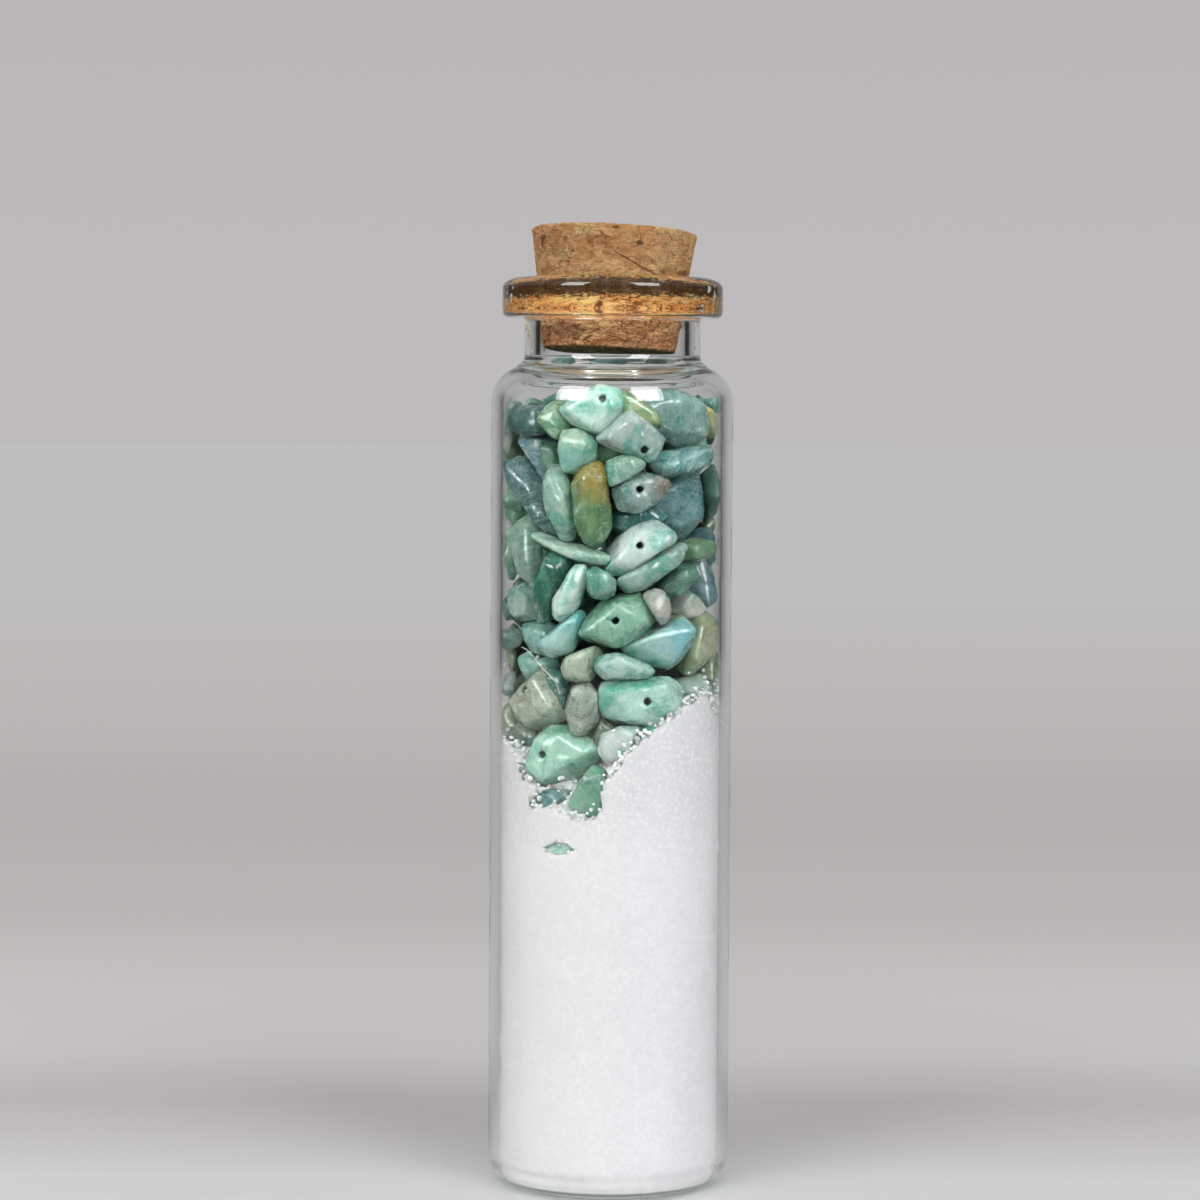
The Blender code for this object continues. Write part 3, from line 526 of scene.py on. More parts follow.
    # Painted shade: the cork's downward faces are darkened to olive.
    facing = split(tree, node(tree, "NewGeometry").outputs["True Normal"])["Z"]
    tan = over(tree, tan, facing, -0.6, -0.9, 0.85, (88, 80, 52))
    finish_coat(tree, {
        "Base Color": tan, "Roughness": spread(tree, fine, 0.3, 0.7, 0.75, 0.95), "Specular IOR Level": 0.3,
        "Normal": bumps(tree, (dark, -0.7, 0.25), (grain, 0.6, 0.3), (fine, 0.7, 0.1)),
    })
    return material


def sand_material():
    """Fine pale grains: a faint mottle and greyer grains higher up, with painted shade at the grains' edges
    higher up, painted light that whitens the sand low down, and painted shade in a greenish grey and a dark
    greenish line at the bottom.
    """
    material, tree = new_tree("white_sand")
    place = in_mm(tree)
    parts = split(tree, place)
    height = parts["Z"]
    upper = spread(tree, height, 27.0, 41.0)
    grains = node(tree, "TexVoronoi", {"Vector": place, "Scale": 2.6}).outputs
    shade = node(tree, "SeparateColor", {0: grains["Color"]}).outputs
    white = blend(tree, spread(tree, parts["X"], -9.0, 9.0), (234, 228, 227), (239, 232, 239))
    grey = times(tree, spread(tree, shade[0], 0.1, 1.0), spread(tree, upper, 0.0, 1.0, 0.14, 0.4))
    white = blend(tree, grey, white, (204, 207, 208))
    # Painted shade: greyer at the grains' edges, between them, more so higher up.
    painted_grain_edge_shade = times(tree, spread(tree, grains["Distance"], 0.3, 0.55), spread(tree, upper, 0.0, 1.0, 0.1, 0.4))
    white = blend(tree, painted_grain_edge_shade, white, (184, 190, 190))
    for value, low, high, share, colour in (
        (noise_at(tree, place, 0.5, 5.0, 0.65), 0.4, 0.62, 0.4, (224, 221, 225)),
        (noise_at(tree, place, 1.7, 3.0, 0.7), 0.42, 0.64, 0.4, (220, 218, 220)),
        (noise_at(tree, place, 4.5, 4.0, 0.65), 0.54, 0.7, 0.45, (208, 208, 210)),
        # Painted light: the sand low down is whitened against the shade at the glass's heel. Painted shade:
        # greenish grey at the very bottom.
        (height, FLOOR + 2.2, FLOOR + 0.8, 0.9, (251, 248, 249)),
        (height, FLOOR + 0.5, FLOOR + 0.3, 0.6, (146, 162, 146)),
    ):
        white = over(tree, white, value, low, high, share, colour)
    # Painted shade: a dark greenish line along the sand's foot.
    line = between(tree, height, FLOOR + 0.3, FLOOR + 0.42, FLOOR + 0.52, FLOOR + 0.66, 0.85)
    finish_coat(tree, {
        "Base Color": blend(tree, line, white, (88, 102, 90)),
        "Roughness": spread(tree, shade[0], 0.0, 1.0, 0.45, 0.8),
        "Subsurface Weight": 0.25, "Subsurface Radius": (1.0, 1.0, 1.0), "Subsurface Scale": 0.6 * MM,
        "Normal": bumps(tree, (grains["Distance"], -0.25, 0.12)),
    })
    return material


def grain_material(name, light, dark, roughness, clear):
    """Single grains of glass."""
    material, tree = new_tree(name)
    tint = noise_at(tree, in_mm(tree), 1.7, 2.0)
    finish_coat(tree, {
        "Base Color": blend(tree, spread(tree, tint, 0.35, 0.65), light, dark),
        "Roughness": spread(tree, tint, 0.3, 0.7, *roughness), "IOR": 1.45, "Transmission Weight": clear,
    })
    return material


def fibre_material():
    material, tree = new_tree("stray_fibre")
    tint = noise_at(tree, in_mm(tree), 1.2, 3.0)
    finish_coat(tree, {
        "Base Color": blend(tree, spread(tree, tint, 0.35, 0.65), (214, 218, 202), (188, 196, 180)),
        "Roughness": 0.5, "Subsurface Weight": 0.3, "Subsurface Scale": 0.1 * MM,
    })
    return material


def along_lean(tree, place, lean, shift, stretch):
    """Coordinates turned so that Z runs along a lean, in degrees from upright towards +X, then stretched."""
    return mapped(tree, mapped(tree, place, turn=(0, -math.radians(lean), 0)), shift, stretch=stretch)


def fade_share(tree, place, start, end, rough):
    """Share of a fade's colour: 0 at its start and 1 at its end, both (across, up) in millimetres."""
    length = math.dist(start, end)
    way = (np.array(end) - start) / length
    along = vector_maths(tree, "DOT_PRODUCT", place, (way[0], 0.0, way[1]))["Value"]
    offset = float(start @ way)
    wander = spread(tree, rough, 0.3, 0.7, -0.3 * length, 0.3 * length)
    return spread(tree, maths(tree, "ADD", along, wander), offset, offset + length)


@dataclass
class Stone:
    """A stone's look: colours as on screen, and shares from 0 to 1."""

    base: tuple
    cloud: tuple
    streak: tuple
    streaks: float = 0.22
    # Degrees that the streaks lean from upright towards +X. Without it they lean at random.
    lean: float = None
    cracks: float = 0.32
    glow: float = 0.6
    speck: tuple = None
    specks: float = 0.8
    # Places where the stone fades to another colour: the colour, where it starts and where it is full,
    # as (across, up) from the axis and the base.
    fades: tuple = ()
    # The share of each channel of the base that is left in the stone's depth.
    deep: tuple = (0.56, 0.88, 0.83)


def stone_material(name, look, seed):
    """Amazonite: a deep body, paler clouds, fine white lamellae, healed fractures and specks."""
    chance = random.Random(seed)
    shift = tuple(chance.uniform(-50, 50) for _ in range(3))
    turn = tuple(chance.uniform(0, 3.1) for _ in range(3))
    lean = chance.uniform(-80, 80) if look.lean is None else look.lean
    material, tree = new_tree(name)
    whole = in_mm(tree)
    place = in_mm(tree, shift, turn)
    other = in_mm(tree, shift[::-1], turn)
    deep = tuple(channel * share for channel, share in zip(look.base, look.deep))
    depth = noise_at(tree, place, 0.34, 4.0, 0.55, 0.6)
    colour = blend(tree, spread(tree, depth, 0.36, 0.56), deep, look.base)
    cloud = noise_at(tree, other, 0.3, 4.0, 0.58, 1.0)
    colour = over(tree, colour, cloud, 0.44, 0.6, 0.9, look.cloud)
    for fade_colour, start, end in look.fades:
        colour = blend(tree, fade_share(tree, whole, start, end, depth), colour, fade_colour)
    streak = noise_at(tree, along_lean(tree, whole, lean, shift, (2.6, 1.2, 0.22)), 1.0, 4.0, 0.62, 0.5)
    hair = noise_at(tree, along_lean(tree, whole, lean + 6, shift[::-1], (7.0, 3.0, 0.5)), 1.0, 3.0, 0.6, 0.4)
    colour = over(tree, colour, streak, 0.5, 0.66, look.streaks, look.streak)
    colour = over(tree, colour, hair, 0.54, 0.66, 0.5 * look.streaks, look.streak)
    colour = over(tree, colour, streak, 0.46, 0.34, 0.5, deep)
    worn = noise_at(tree, place, 0.45, 2.0, 0.5)
    vein = times(tree, ridges(tree, other, 0.3, 0.014, 5.0, 1.4), spread(tree, worn, 0.44, 0.56))
    colour = blend(tree, times(tree, vein, look.cracks), colour, (236, 242, 238))
    if look.speck:
        speckle = noise_at(tree, other, 1.1, 7.0, 0.78)
        colour = over(tree, colour, speckle, 0.54, 0.62, look.specks, look.speck)
    fine = noise_at(tree, place, 4.2, 4.0, 0.65)
    colour = over(tree, colour, fine, 0.42, 0.7, 0.22, look.streak)
    polish = noise_at(tree, place, 1.3, 2.0, 0.5)
    finish_coat(tree, {
        "Base Color": colour, "Roughness": spread(tree, polish, 0.35, 0.65, 0.14, 0.32), "IOR": 1.53,
        "Subsurface Weight": look.glow, "Subsurface Radius": (0.7, 1.0, 0.95), "Subsurface Scale": 0.8 * MM,
        "Coat Weight": 0.7, "Coat Roughness": 0.05,
        "Normal": bumps(tree, (polish, 0.25, 0.14), (fine, 0.12, 0.04), (vein, -0.3, 0.06)),
    })
    return material


# The vial.


def vial_profile():
    """The glass from the middle of its floor, up the inside, over the lip and down to the base."""
    inner_top = BODY_TOP + INNER_SHOULDER
    points = [(0.0, FLOOR + PUSH_UP), (2.0, FLOOR + 0.85 * PUSH_UP), (5.0, FLOOR + 0.25 * PUSH_UP)]
    points += arc((INNER_RADIUS - FLOOR_FILLET, FLOOR + FLOOR_FILLET), FLOOR_FILLET, -90, 0, 10)
    points += [(INNER_RADIUS, height) for height in np.linspace(FLOOR + FLOOR_FILLET + 2, BODY_TOP - 2, 14)]
    points += arc((SHOULDER_CENTRE, BODY_TOP), INNER_SHOULDER, 0, 90, 14)
    points += arc((BORE_RADIUS + BORE_ROUND, inner_top + BORE_ROUND), BORE_ROUND, 270, 180, 6)
    points.append((BORE_RADIUS, SQUEEZE_FROM - 0.4))
    squeezed = np.linspace(SQUEEZE_FROM, LIP_TOP - MOUTH_ROUND, 12)
    points += [(cork_radius(height) - SQUEEZE, height) for height in squeezed]
    mouth = cork_radius(LIP_TOP) - SQUEEZE
    points += arc((mouth + MOUTH_ROUND, LIP_TOP - MOUTH_ROUND), MOUTH_ROUND, 165, 90, 6)
    points += [
        (LIP_RADIUS - LIP_TOP_WIDE * (1 - across), LIP_TOP - LIP_TOP_HIGH * (1 - rise))
        for across, rise in arc((0.0, 0.0), 1.0, 90, 0, 12)
    ]
    points += arc((LIP_RADIUS - LIP_LOWER_ROUND, LIP_BOTTOM + LIP_LOWER_ROUND), LIP_LOWER_ROUND, 0, -90, 6)
    points += arc((NECK_RADIUS + 0.25, LIP_BOTTOM - 0.25), 0.25, 90, 180, 3)
    points += arc((NECK_RADIUS + NECK_FILLET, SHOULDER_TOP + NECK_FILLET), NECK_FILLET, 180, 250, 7)
    points += arc((SHOULDER_CENTRE, BODY_TOP), SHOULDER_RADIUS, 72, 0, 16)
    points += [(BODY_RADIUS, height) for height in np.linspace(BODY_TOP - 2, HEEL_RADIUS + 2, 14)]
    points += arc((BODY_RADIUS - HEEL_RADIUS, HEEL_RADIUS), HEEL_RADIUS, 0, -90, 12)
    points += [(REST_RING_INNER, 0.0), (REST_RING_INNER * 0.6, 0.7 * PUSH_UP), (0.0, PUSH_UP)]
    return points


def cork_radius(height):
    """The cork's radius at a height in the neck."""
    top = LIP_TOP + CORK_PROUD
    radii = (CORK_BOTTOM_RADIUS, CORK_LIP_RADIUS, CORK_TOP_RADIUS)
    return float(np.interp(height, (top - CORK_LENGTH, LIP_TOP, top), radii))


def held(profile, apart=0.6, near=0.12):
    """The profile with a point close to both ends of each long stretch, which keeps it straight."""
    made = [profile[0]]
    for first, second in zip(profile, profile[1:]):
        first, second = np.array(first), np.array(second)
        length = np.linalg.norm(second - first)
        if length > apart:
            made.append(tuple(first + (second - first) * near / length))
            made.append(tuple(second - (second - first) * near / length))
        made.append(tuple(second))
    return made


def cork_frame():
    """The turn of the crooked cork, and the point in the neck that it is turned about."""
    turn = np.array(Matrix.Rotation(CORK_TILT, 3, "Y") @ Matrix.Rotation(-CORK_PITCH, 3, "X"))
    return turn, np.array((CORK_ASIDE, 0.0, LIP_TOP - CORK_PIVOT_DEPTH))


def squeezed_radius(point):
    """Distance from the axis of the crooked cork's side, at the point's height and on its side."""
    turn, pivot = cork_frame()
    outward = np.array((point[0], point[1], 0.0)) / math.hypot(point[0], point[1])
    reach = cork_radius(point[2])
    for _ in range(4):
        local = turn.T @ (outward * reach + (0, 0, point[2]) - pivot)
        reach += cork_radius(pivot[2] + local[2]) - math.hypot(local[0], local[1])
    return reach


def build_glass():
    """The vial, with its bore pressed against the crooked cork in the lip."""
    points, faces = turned(held(vial_profile()), GLASS_SEGMENTS)
    for point in points:
        reach = math.hypot(point[0], point[1])
        if SQUEEZE_FROM - 0.01 < point[2] < SQUEEZE_TO and 0 < reach < cork_radius(point[2]) + 0.1:
            point[:2] *= (squeezed_radius(point) - SQUEEZE) / reach
    return add_piece("vial_glass", points, faces, glass_material(), "jar", SLOTS["bottle"])


# The cork.


def cork_profile():
    """The cork's outline about its middle, from the centre of its bottom to the centre of its top."""
    half = CORK_LENGTH / 2
    bottom = [(r, -half) for r in np.linspace(0, CORK_BOTTOM_RADIUS - CORK_EDGE, 22)]
    bottom += arc((CORK_BOTTOM_RADIUS - CORK_EDGE, CORK_EDGE - half), CORK_EDGE, -75, 0, 4)
    middle = LIP_TOP + CORK_PROUD - half
    side = [(cork_radius(z + middle), z) for z in np.linspace(2 * CORK_EDGE - half, half - 2 * CORK_EDGE, 56)]
    top = arc((CORK_TOP_RADIUS - CORK_EDGE, half - CORK_EDGE), CORK_EDGE, 8, 80, 4)
    top += [(r, half) for r in np.linspace(CORK_TOP_RADIUS - CORK_EDGE, 0, 32)]
    return bottom + side + top


def build_cork():
    """Pressed cork: granules with seams between them, some grains fallen out, and a worn edge."""
    points, faces = turned(cork_profile(), CORK_SEGMENTS)
    outward = points.copy()
    half = CORK_LENGTH / 2
    flat = np.abs(np.abs(points[:, 2]) - half) < 0.01
    outward[:, 2] = 0.0
    outward[flat] = 0.0
    outward[flat, 2] = np.sign(points[flat, 2])
    length = np.linalg.norm(outward, axis=1)
    outward /= np.where(length > 0, length, 1)[:, None]
    depth = np.zeros(len(points))
    noise.seed_set(CORK_SEED)
    for index, point in enumerate(points):
        warped = Vector(point) + noise.noise_vector(Vector(point) * 0.8) * 0.7
        near = noise.voronoi(warped * 0.75)[0]
        seam = max(0.0, 1.0 - (near[1] - near[0]) / 0.11)
        fallen = max(0.0, noise.noise(Vector(point) * 1.1 + Vector((5, 8, 2))) - 0.3)
        grain = noise.noise(Vector(point) * 4)
        depth[index] = CORK_SEAM * seam + CORK_FALLEN * fallen + CORK_GRAIN * grain
    proud = np.clip((points[:, 2] - (half - CORK_PROUD)) / 0.4, 0.0, 1.0)
    rough = 0.8 + 0.2 * np.where(flat, 1.0, proud)
    points = points - outward * (depth * rough)[:, None]
    turn, pivot = cork_frame()
    middle = LIP_TOP + CORK_PROUD - half
    points = (points + (0, 0, middle - pivot[2])) @ turn.T + pivot
    faces = [face[::-1] for face in faces]
    return add_piece("pressed_cork", points, faces, cork_material(), "cork", SLOTS["cork_stopper"])


# The sand.


def kept_in_glass(points, wall):
    """Points of the sand moved out onto the glass's wall, or in within it and the fillet of its floor."""
    reach = reaches(points)
    wanted = np.where(wall, TOUCHES_GLASS, np.minimum(reach, TOUCHES_GLASS))
    points[:, :2] *= (wanted / np.maximum(reach, NEAR_NOTHING))[:, None]
    reach = reaches(points)
    rounding = FLOOR_FILLET - GLASS_GAP
    corner = TOUCHES_GLASS - rounding
    across, down = np.maximum(reach - corner, 0), FLOOR + FLOOR_FILLET - points[:, 2]
    too_far = (down > 0) & (np.hypot(across, down) > rounding)
    share = np.where(too_far, rounding / np.maximum(np.hypot(across, down), NEAR_NOTHING), 1.0)
    points[:, 2] = np.where(too_far, FLOOR + FLOOR_FILLET - down * share, points[:, 2])
    kept = np.where(too_far & (across > 0), corner + across * share, reach)
    points[:, :2] *= (kept / np.maximum(reach, NEAR_NOTHING))[:, None]


def build_sand():
    """The CAD fill, swollen to the glass and down to its floor, with an uneven top.

    Gives the piece, its points, faces and normals, and how loose each point is: 0 by the glass and 1 inside.
    """
    points, faces, normals = even_mesh(*solid_of("sand_fill"), SAND_VOXEL, 2)
    low = np.clip((4.0 - points[:, 2]) / 2.5, 0.0, 1.0)
    points[:, 2] -= low * (points[:, 2].min() - SAND_BOTTOM)
    rounded_to = SAND_BOTTOM + FLOOR_FILLET
    reach = reaches(points)
    down = np.maximum(rounded_to - points[:, 2], 0)
    corner = np.hypot(np.maximum(reach - (FILL_RADIUS - FLOOR_FILLET), 0), down)
    inside = np.where(points[:, 2] > rounded_to, FILL_RADIUS - reach, FLOOR_FILLET - corner)
    shell = np.clip(1.3 - inside / 0.25, 0.0, 1.0)
    loose = 1.0 - shell
    points = points + normals * (shell * (TOUCHES_GLASS - FILL_RADIUS))[:, None]
    closing = CLOSES_GAP * (points[:, 2] > FILL_BOTTOM - 8)
    points = points + normals * (closing + loose * 0.12 * waves(points, 0.7, 3.0))[:, None]
    level = np.array([sand_level(point[0], point[1]) for point in points])
    near_top = np.clip((points[:, 2] - level + 1.6) / 1.2, 0.0, 1.0)
    points[:, 2] += near_top * (0.42 * waves(points, 0.9, 8.0) + 0.3 * waves(points, 0.4, 5.0))
    kept_in_glass(points, (points[:, 2] > rounded_to) & (inside < 0.35))
    sand = add_piece("sand_body", points, faces, sand_material(), "jar", SLOTS["sand_fill"])
    return sand, points, faces, normals, loose


def sand_level(x, y):
    """Height of the sand at a place inside the vial."""
    around = math.degrees(math.atan2(x, -y))
    angles = [entry[0] for entry in SAND_AT_WALL] + [180]
    levels = [entry[1] for entry in SAND_AT_WALL] + [SAND_AT_WALL[0][1]]
    share = min(1.0, math.hypot(x, y) / FILL_RADIUS)
    return SAND_AT_MIDDLE + (float(np.interp(around, angles, levels)) - SAND_AT_MIDDLE) * share**SAND_BEND


def outside(tree, point):
    """How far a point is from a closed surface, less than 0 inside it."""
    spot, normal, _, distance = tree.find_nearest(Vector(point))
    return distance if (Vector(point) - spot).dot(normal) > 0 else -distance


GOLDEN = (1 + math.sqrt(5)) / 2
GRAIN_CORNERS = np.array([
    np.roll((a, b * GOLDEN, 0), turn) for turn in range(3) for a in (-1, 1) for b in (-1, 1)
]) / math.hypot(1, GOLDEN)


def grain_faces():
    """The triangles between corners of a grain that are next to each other, all facing out."""
    faces = []
    for i, j, k in itertools.combinations(range(len(GRAIN_CORNERS)), 3):
        first, second, third = GRAIN_CORNERS[[i, j, k]]
        if max(math.dist(*pair) for pair in itertools.combinations((first, second, third), 2)) < 1.1:
            faces_out = np.dot(np.cross(second - first, third - first), first) > 0
            faces.append((i, j, k) if faces_out else (i, k, j))
    return faces


GRAIN_FACES = grain_faces()


def any_turn(chance):
    return np.array(Euler([chance.uniform(0, 6.3) for _ in range(3)]).to_matrix())


def grain_mesh(spots, sizes, chance):
    """Rounded, uneven grains at the spots, as one mesh."""
    points, faces = [], []
    for spot, size in zip(spots, sizes):
        turn = any_turn(chance)
        uneven = np.array([chance.uniform(0.75, 1.15) for _ in range(3)])
        faces += [tuple(corner + 12 * len(points) for corner in face) for face in GRAIN_FACES]
        points.append((GRAIN_CORNERS * uneven * size) @ turn.T + spot)
    return np.vstack(points), faces


# Least and greatest.
GRAIN_RADIUS = (0.15, 0.26)
# Single grains that stick to the glass in front, as (across, up) from the axis and the base.
LONE_GRAINS = (
    (-3.0, 37.7), (-4.1, 37.1), (-3.8, 36.5), (-2.4, 35.7), (-2.6, 35.2), (-2.1, 34.1), (-2.1, 38.0),
    (-1.3, 38.2), (-5.7, 32.3), (-5.2, 32.5), (-4.7, 32.3), (-4.1, 32.5), (-3.5, 32.2), (-5.4, 31.9),
    (-4.3, 32.0), (-3.1, 31.9), (-5.7, 35.1), (-1.9, 44.4), (3.4, 43.9), (4.6, 44.8), (6.1, 45.6),
    (-7.6, 44.2), (-7.1, 45.5), (0.9, 43.4),
)
LONE_GRAIN_RADIUS = 0.25
LONE_MORE = 60
CLEAR_EVERY = 5
# Grains in the gaps by the glass: their distances from the axis, and heights from, to and by.
GAP_LAYERS = (9.72, 9.42, 9.1)
GAP_HEIGHTS = (34.5, 47.5, 0.29)
# Crumbs on the inside of the neck: degrees from the front towards +X, height, half width and half height.
NECK_CRUMBS = (
    (-96, 78.1, 1.3, 0.7), (-118, 78.2, 1.7, 0.6), (-145, 77.9, 1.5, 0.7), (-104, 77.0, 0.8, 0.8),
    (-82, 77.4, 0.35, 0.5), (-128, 76.8, 0.6, 0.5), (-98, 76.1, 0.3, 0.4), (100, 78.2, 0.7, 0.35),
    (124, 78.3, 0.9, 0.3), (84, 78.3, 0.4, 0.25), (-74, 76.0, 0.14, 0.2), (78, 76.2, 0.12, 0.2),
)
CRUMB_DEPTH = 0.09


def shaken(chance, most):
    """A random step either way."""
    return chance.uniform(-most, most)


def top_grains(points, normals, loose, chip_tree, chance):
    """Places of grains on the sand's open surface."""
    spots = []
    open_sand = reaches(points) < TOUCHES_GLASS - 0.3
    for index in np.flatnonzero((loose > 0.6) & open_sand):
        if chance.random() < 0.45 and outside(chip_tree, points[index]) > 0.02:
            jitter = np.array([shaken(chance, 0.12) for _ in range(3)])
            spots.append(points[index] + normals[index] * chance.uniform(-0.05, 0.12) + jitter)
    return spots


def wall_beads(chip_tree, sand_tree, chance):
    """Places of beads against the glass, in rows down from the sand's level."""
    beads = []
    reach = TOUCHES_GLASS - BEAD_RADIUS
    for row, drop in enumerate(np.arange(-BEADS_UP_TO, BEADS_DOWN_TO, 0.86 * BEAD_STEP)):
        for around in np.arange(-math.pi, math.pi, BEAD_STEP / reach):
            angle = around + (0.5 * (row % 2) + shaken(chance, 0.22)) * BEAD_STEP / reach
            spot = round_axis(reach, angle, 0.0)
            spot[2] = sand_level(spot[0], spot[1]) - drop + shaken(chance, 0.14)
            if chance.random() < 0.5 and outside(chip_tree, spot) > 0.12 and outside(sand_tree, spot) > 0.1:
                beads.append(spot)
    return beads


def gap_grains(chip_tree, sand_tree, chance):
    """Places of grains in the gaps by the glass round the lowest chips, fewer the higher they lie."""
    spots = []
    for layer in GAP_LAYERS:
        for around in np.arange(-math.pi, math.pi, 0.31 / layer):
            for height in np.arange(*GAP_HEIGHTS):
                spot = round_axis(layer, around + shaken(chance, 0.016), height + shaken(chance, 0.14))
                above = spot[2] - sand_level(spot[0], spot[1])
                if above > 0.1 and chance.random() > 0.7 * math.exp(-above / 0.8):
                    continue
                clear = outside(chip_tree, spot)
                if clear > 0.05 and outside(sand_tree, spot) > 0.05 and chance.random() < 0.5 + clear:
                    spots.append(spot)
    return spots


def build_grains(points, normals, loose, chip_tree, sand_tree):
    """Loose grains and beads, and clear ones among them and alone against the glass."""
    chance = random.Random(11)
    spots = top_grains(points, normals, loose, chip_tree, chance)
    beads = wall_beads(chip_tree, sand_tree, chance)
    spots += gap_grains(chip_tree, sand_tree, chance)
    spots = [spot for spot in spots if math.hypot(spot[0], spot[1]) < TOUCHES_GLASS - 0.12]
    by_glass = [spot for spot in spots if math.hypot(spot[0], spot[1]) > 9.5 and spot[1] < 0]
    chance.shuffle(by_glass)
    sizes = [chance.uniform(*GRAIN_RADIUS) for _ in spots]
    chance.shuffle(beads)
    clear_beads, white_beads = beads[::CLEAR_EVERY], [bead for i, bead in enumerate(beads) if i % CLEAR_EVERY]
    sizes += [BEAD_RADIUS * chance.uniform(0.85, 1.1) for _ in white_beads]
    points, faces = grain_mesh(spots + white_beads, sizes, chance)
    white = grain_material("glassy_grains", (253, 253, 253), (244, 245, 245), (0.2, 0.4), 0.0)
    add_piece("loose_grains", points, faces, white, "jar", SLOTS["sand_fill"])
    reach = TOUCHES_GLASS - LONE_GRAIN_RADIUS
    spots = [np.array((across, -math.sqrt(reach**2 - across**2), up)) for across, up in LONE_GRAINS]
    spots += [spot for spot in by_glass if outside(chip_tree, spot) > 0.15][:LONE_MORE]
    sizes = [LONE_GRAIN_RADIUS] * len(spots) + [BEAD_RADIUS * chance.uniform(0.85, 1.1) for _ in clear_beads]
    points, faces = grain_mesh(spots + clear_beads, sizes, chance)
    clear = grain_material("clear_grains", (250, 252, 252), (236, 242, 241), (0.02, 0.12), 0.8)
    add_piece("clear_grains", points, faces, clear, "jar", SLOTS["sand_fill"])


FIBRE = ((-7.6, 49.4), (-6.9, 48.9), (-6.0, 48.0), (-5.2, 47.1), (-4.6, 46.2), (-4.3, 45.5))
FIBRE_RADIUS = 0.04


def tube(path, radius, sides=8):
    """Points and faces of a thin closed tube along a path."""
    path = np.array(path)
    points, faces = [], []
    for step, spot in enumerate(path):
        ahead = path[min(step + 1, len(path) - 1)] - path[max(step - 1, 0)]
        ahead /= np.linalg.norm(ahead)
        side = np.cross(ahead, (0.0, 1.0, 0.0))
        side /= np.linalg.norm(side)
        other = np.cross(ahead, side)
        for turn in np.linspace(0, 2 * math.pi, sides, endpoint=False):
            points.append(spot + radius * (side * math.cos(turn) + other * math.sin(turn)))
    for start in range(0, len(points) - sides, sides):
        for i in range(sides):
            j = (i + 1) % sides
            faces.append((start + i, start + j, start + sides + j, start + sides + i))
    faces.append(tuple(range(sides))[::-1])
    faces.append(tuple(range(len(points) - sides, len(points))))
    return points, faces


def build_fibre():
    """A stray pale fibre behind the glass."""
    ways = np.linspace(0, len(FIBRE) - 1, 30)
    across, up = (np.interp(ways, range(len(FIBRE)), values) for values in zip(*FIBRE))
    up = up + 0.12 * np.sin(ways * 2.1)
    reach = TOUCHES_GLASS - FIBRE_RADIUS
    path = [(x, -math.sqrt(reach**2 - x**2), z) for x, z in zip(across, up)]
    points, faces = tube(path, FIBRE_RADIUS)
    add_piece("stray_fibre", points, faces, fibre_material(), "jar", SLOTS["sand_fill"])


def build_crumbs():
    """Cork crumbs that stuck to the inside of the neck."""
    chance = random.Random(5)
    meshes = []
    for around, height, wide, high in NECK_CRUMBS:
        out = round_axis(1.0, math.radians(around), 0.0)
        turn = np.column_stack((out, (-out[1], out[0], 0.0), (0.0, 0.0, 1.0)))
        middle = out * BORE_RADIUS + (0.0, 0.0, height)
        meshes.append(rough_stone(middle, (CRUMB_DEPTH, wide, high), turn, chance, 26))
    points, faces = joined(meshes)
    add_piece("cork_crumbs", points, faces, bpy.data.materials["cork"], "jar", SLOTS["cork_stopper"])


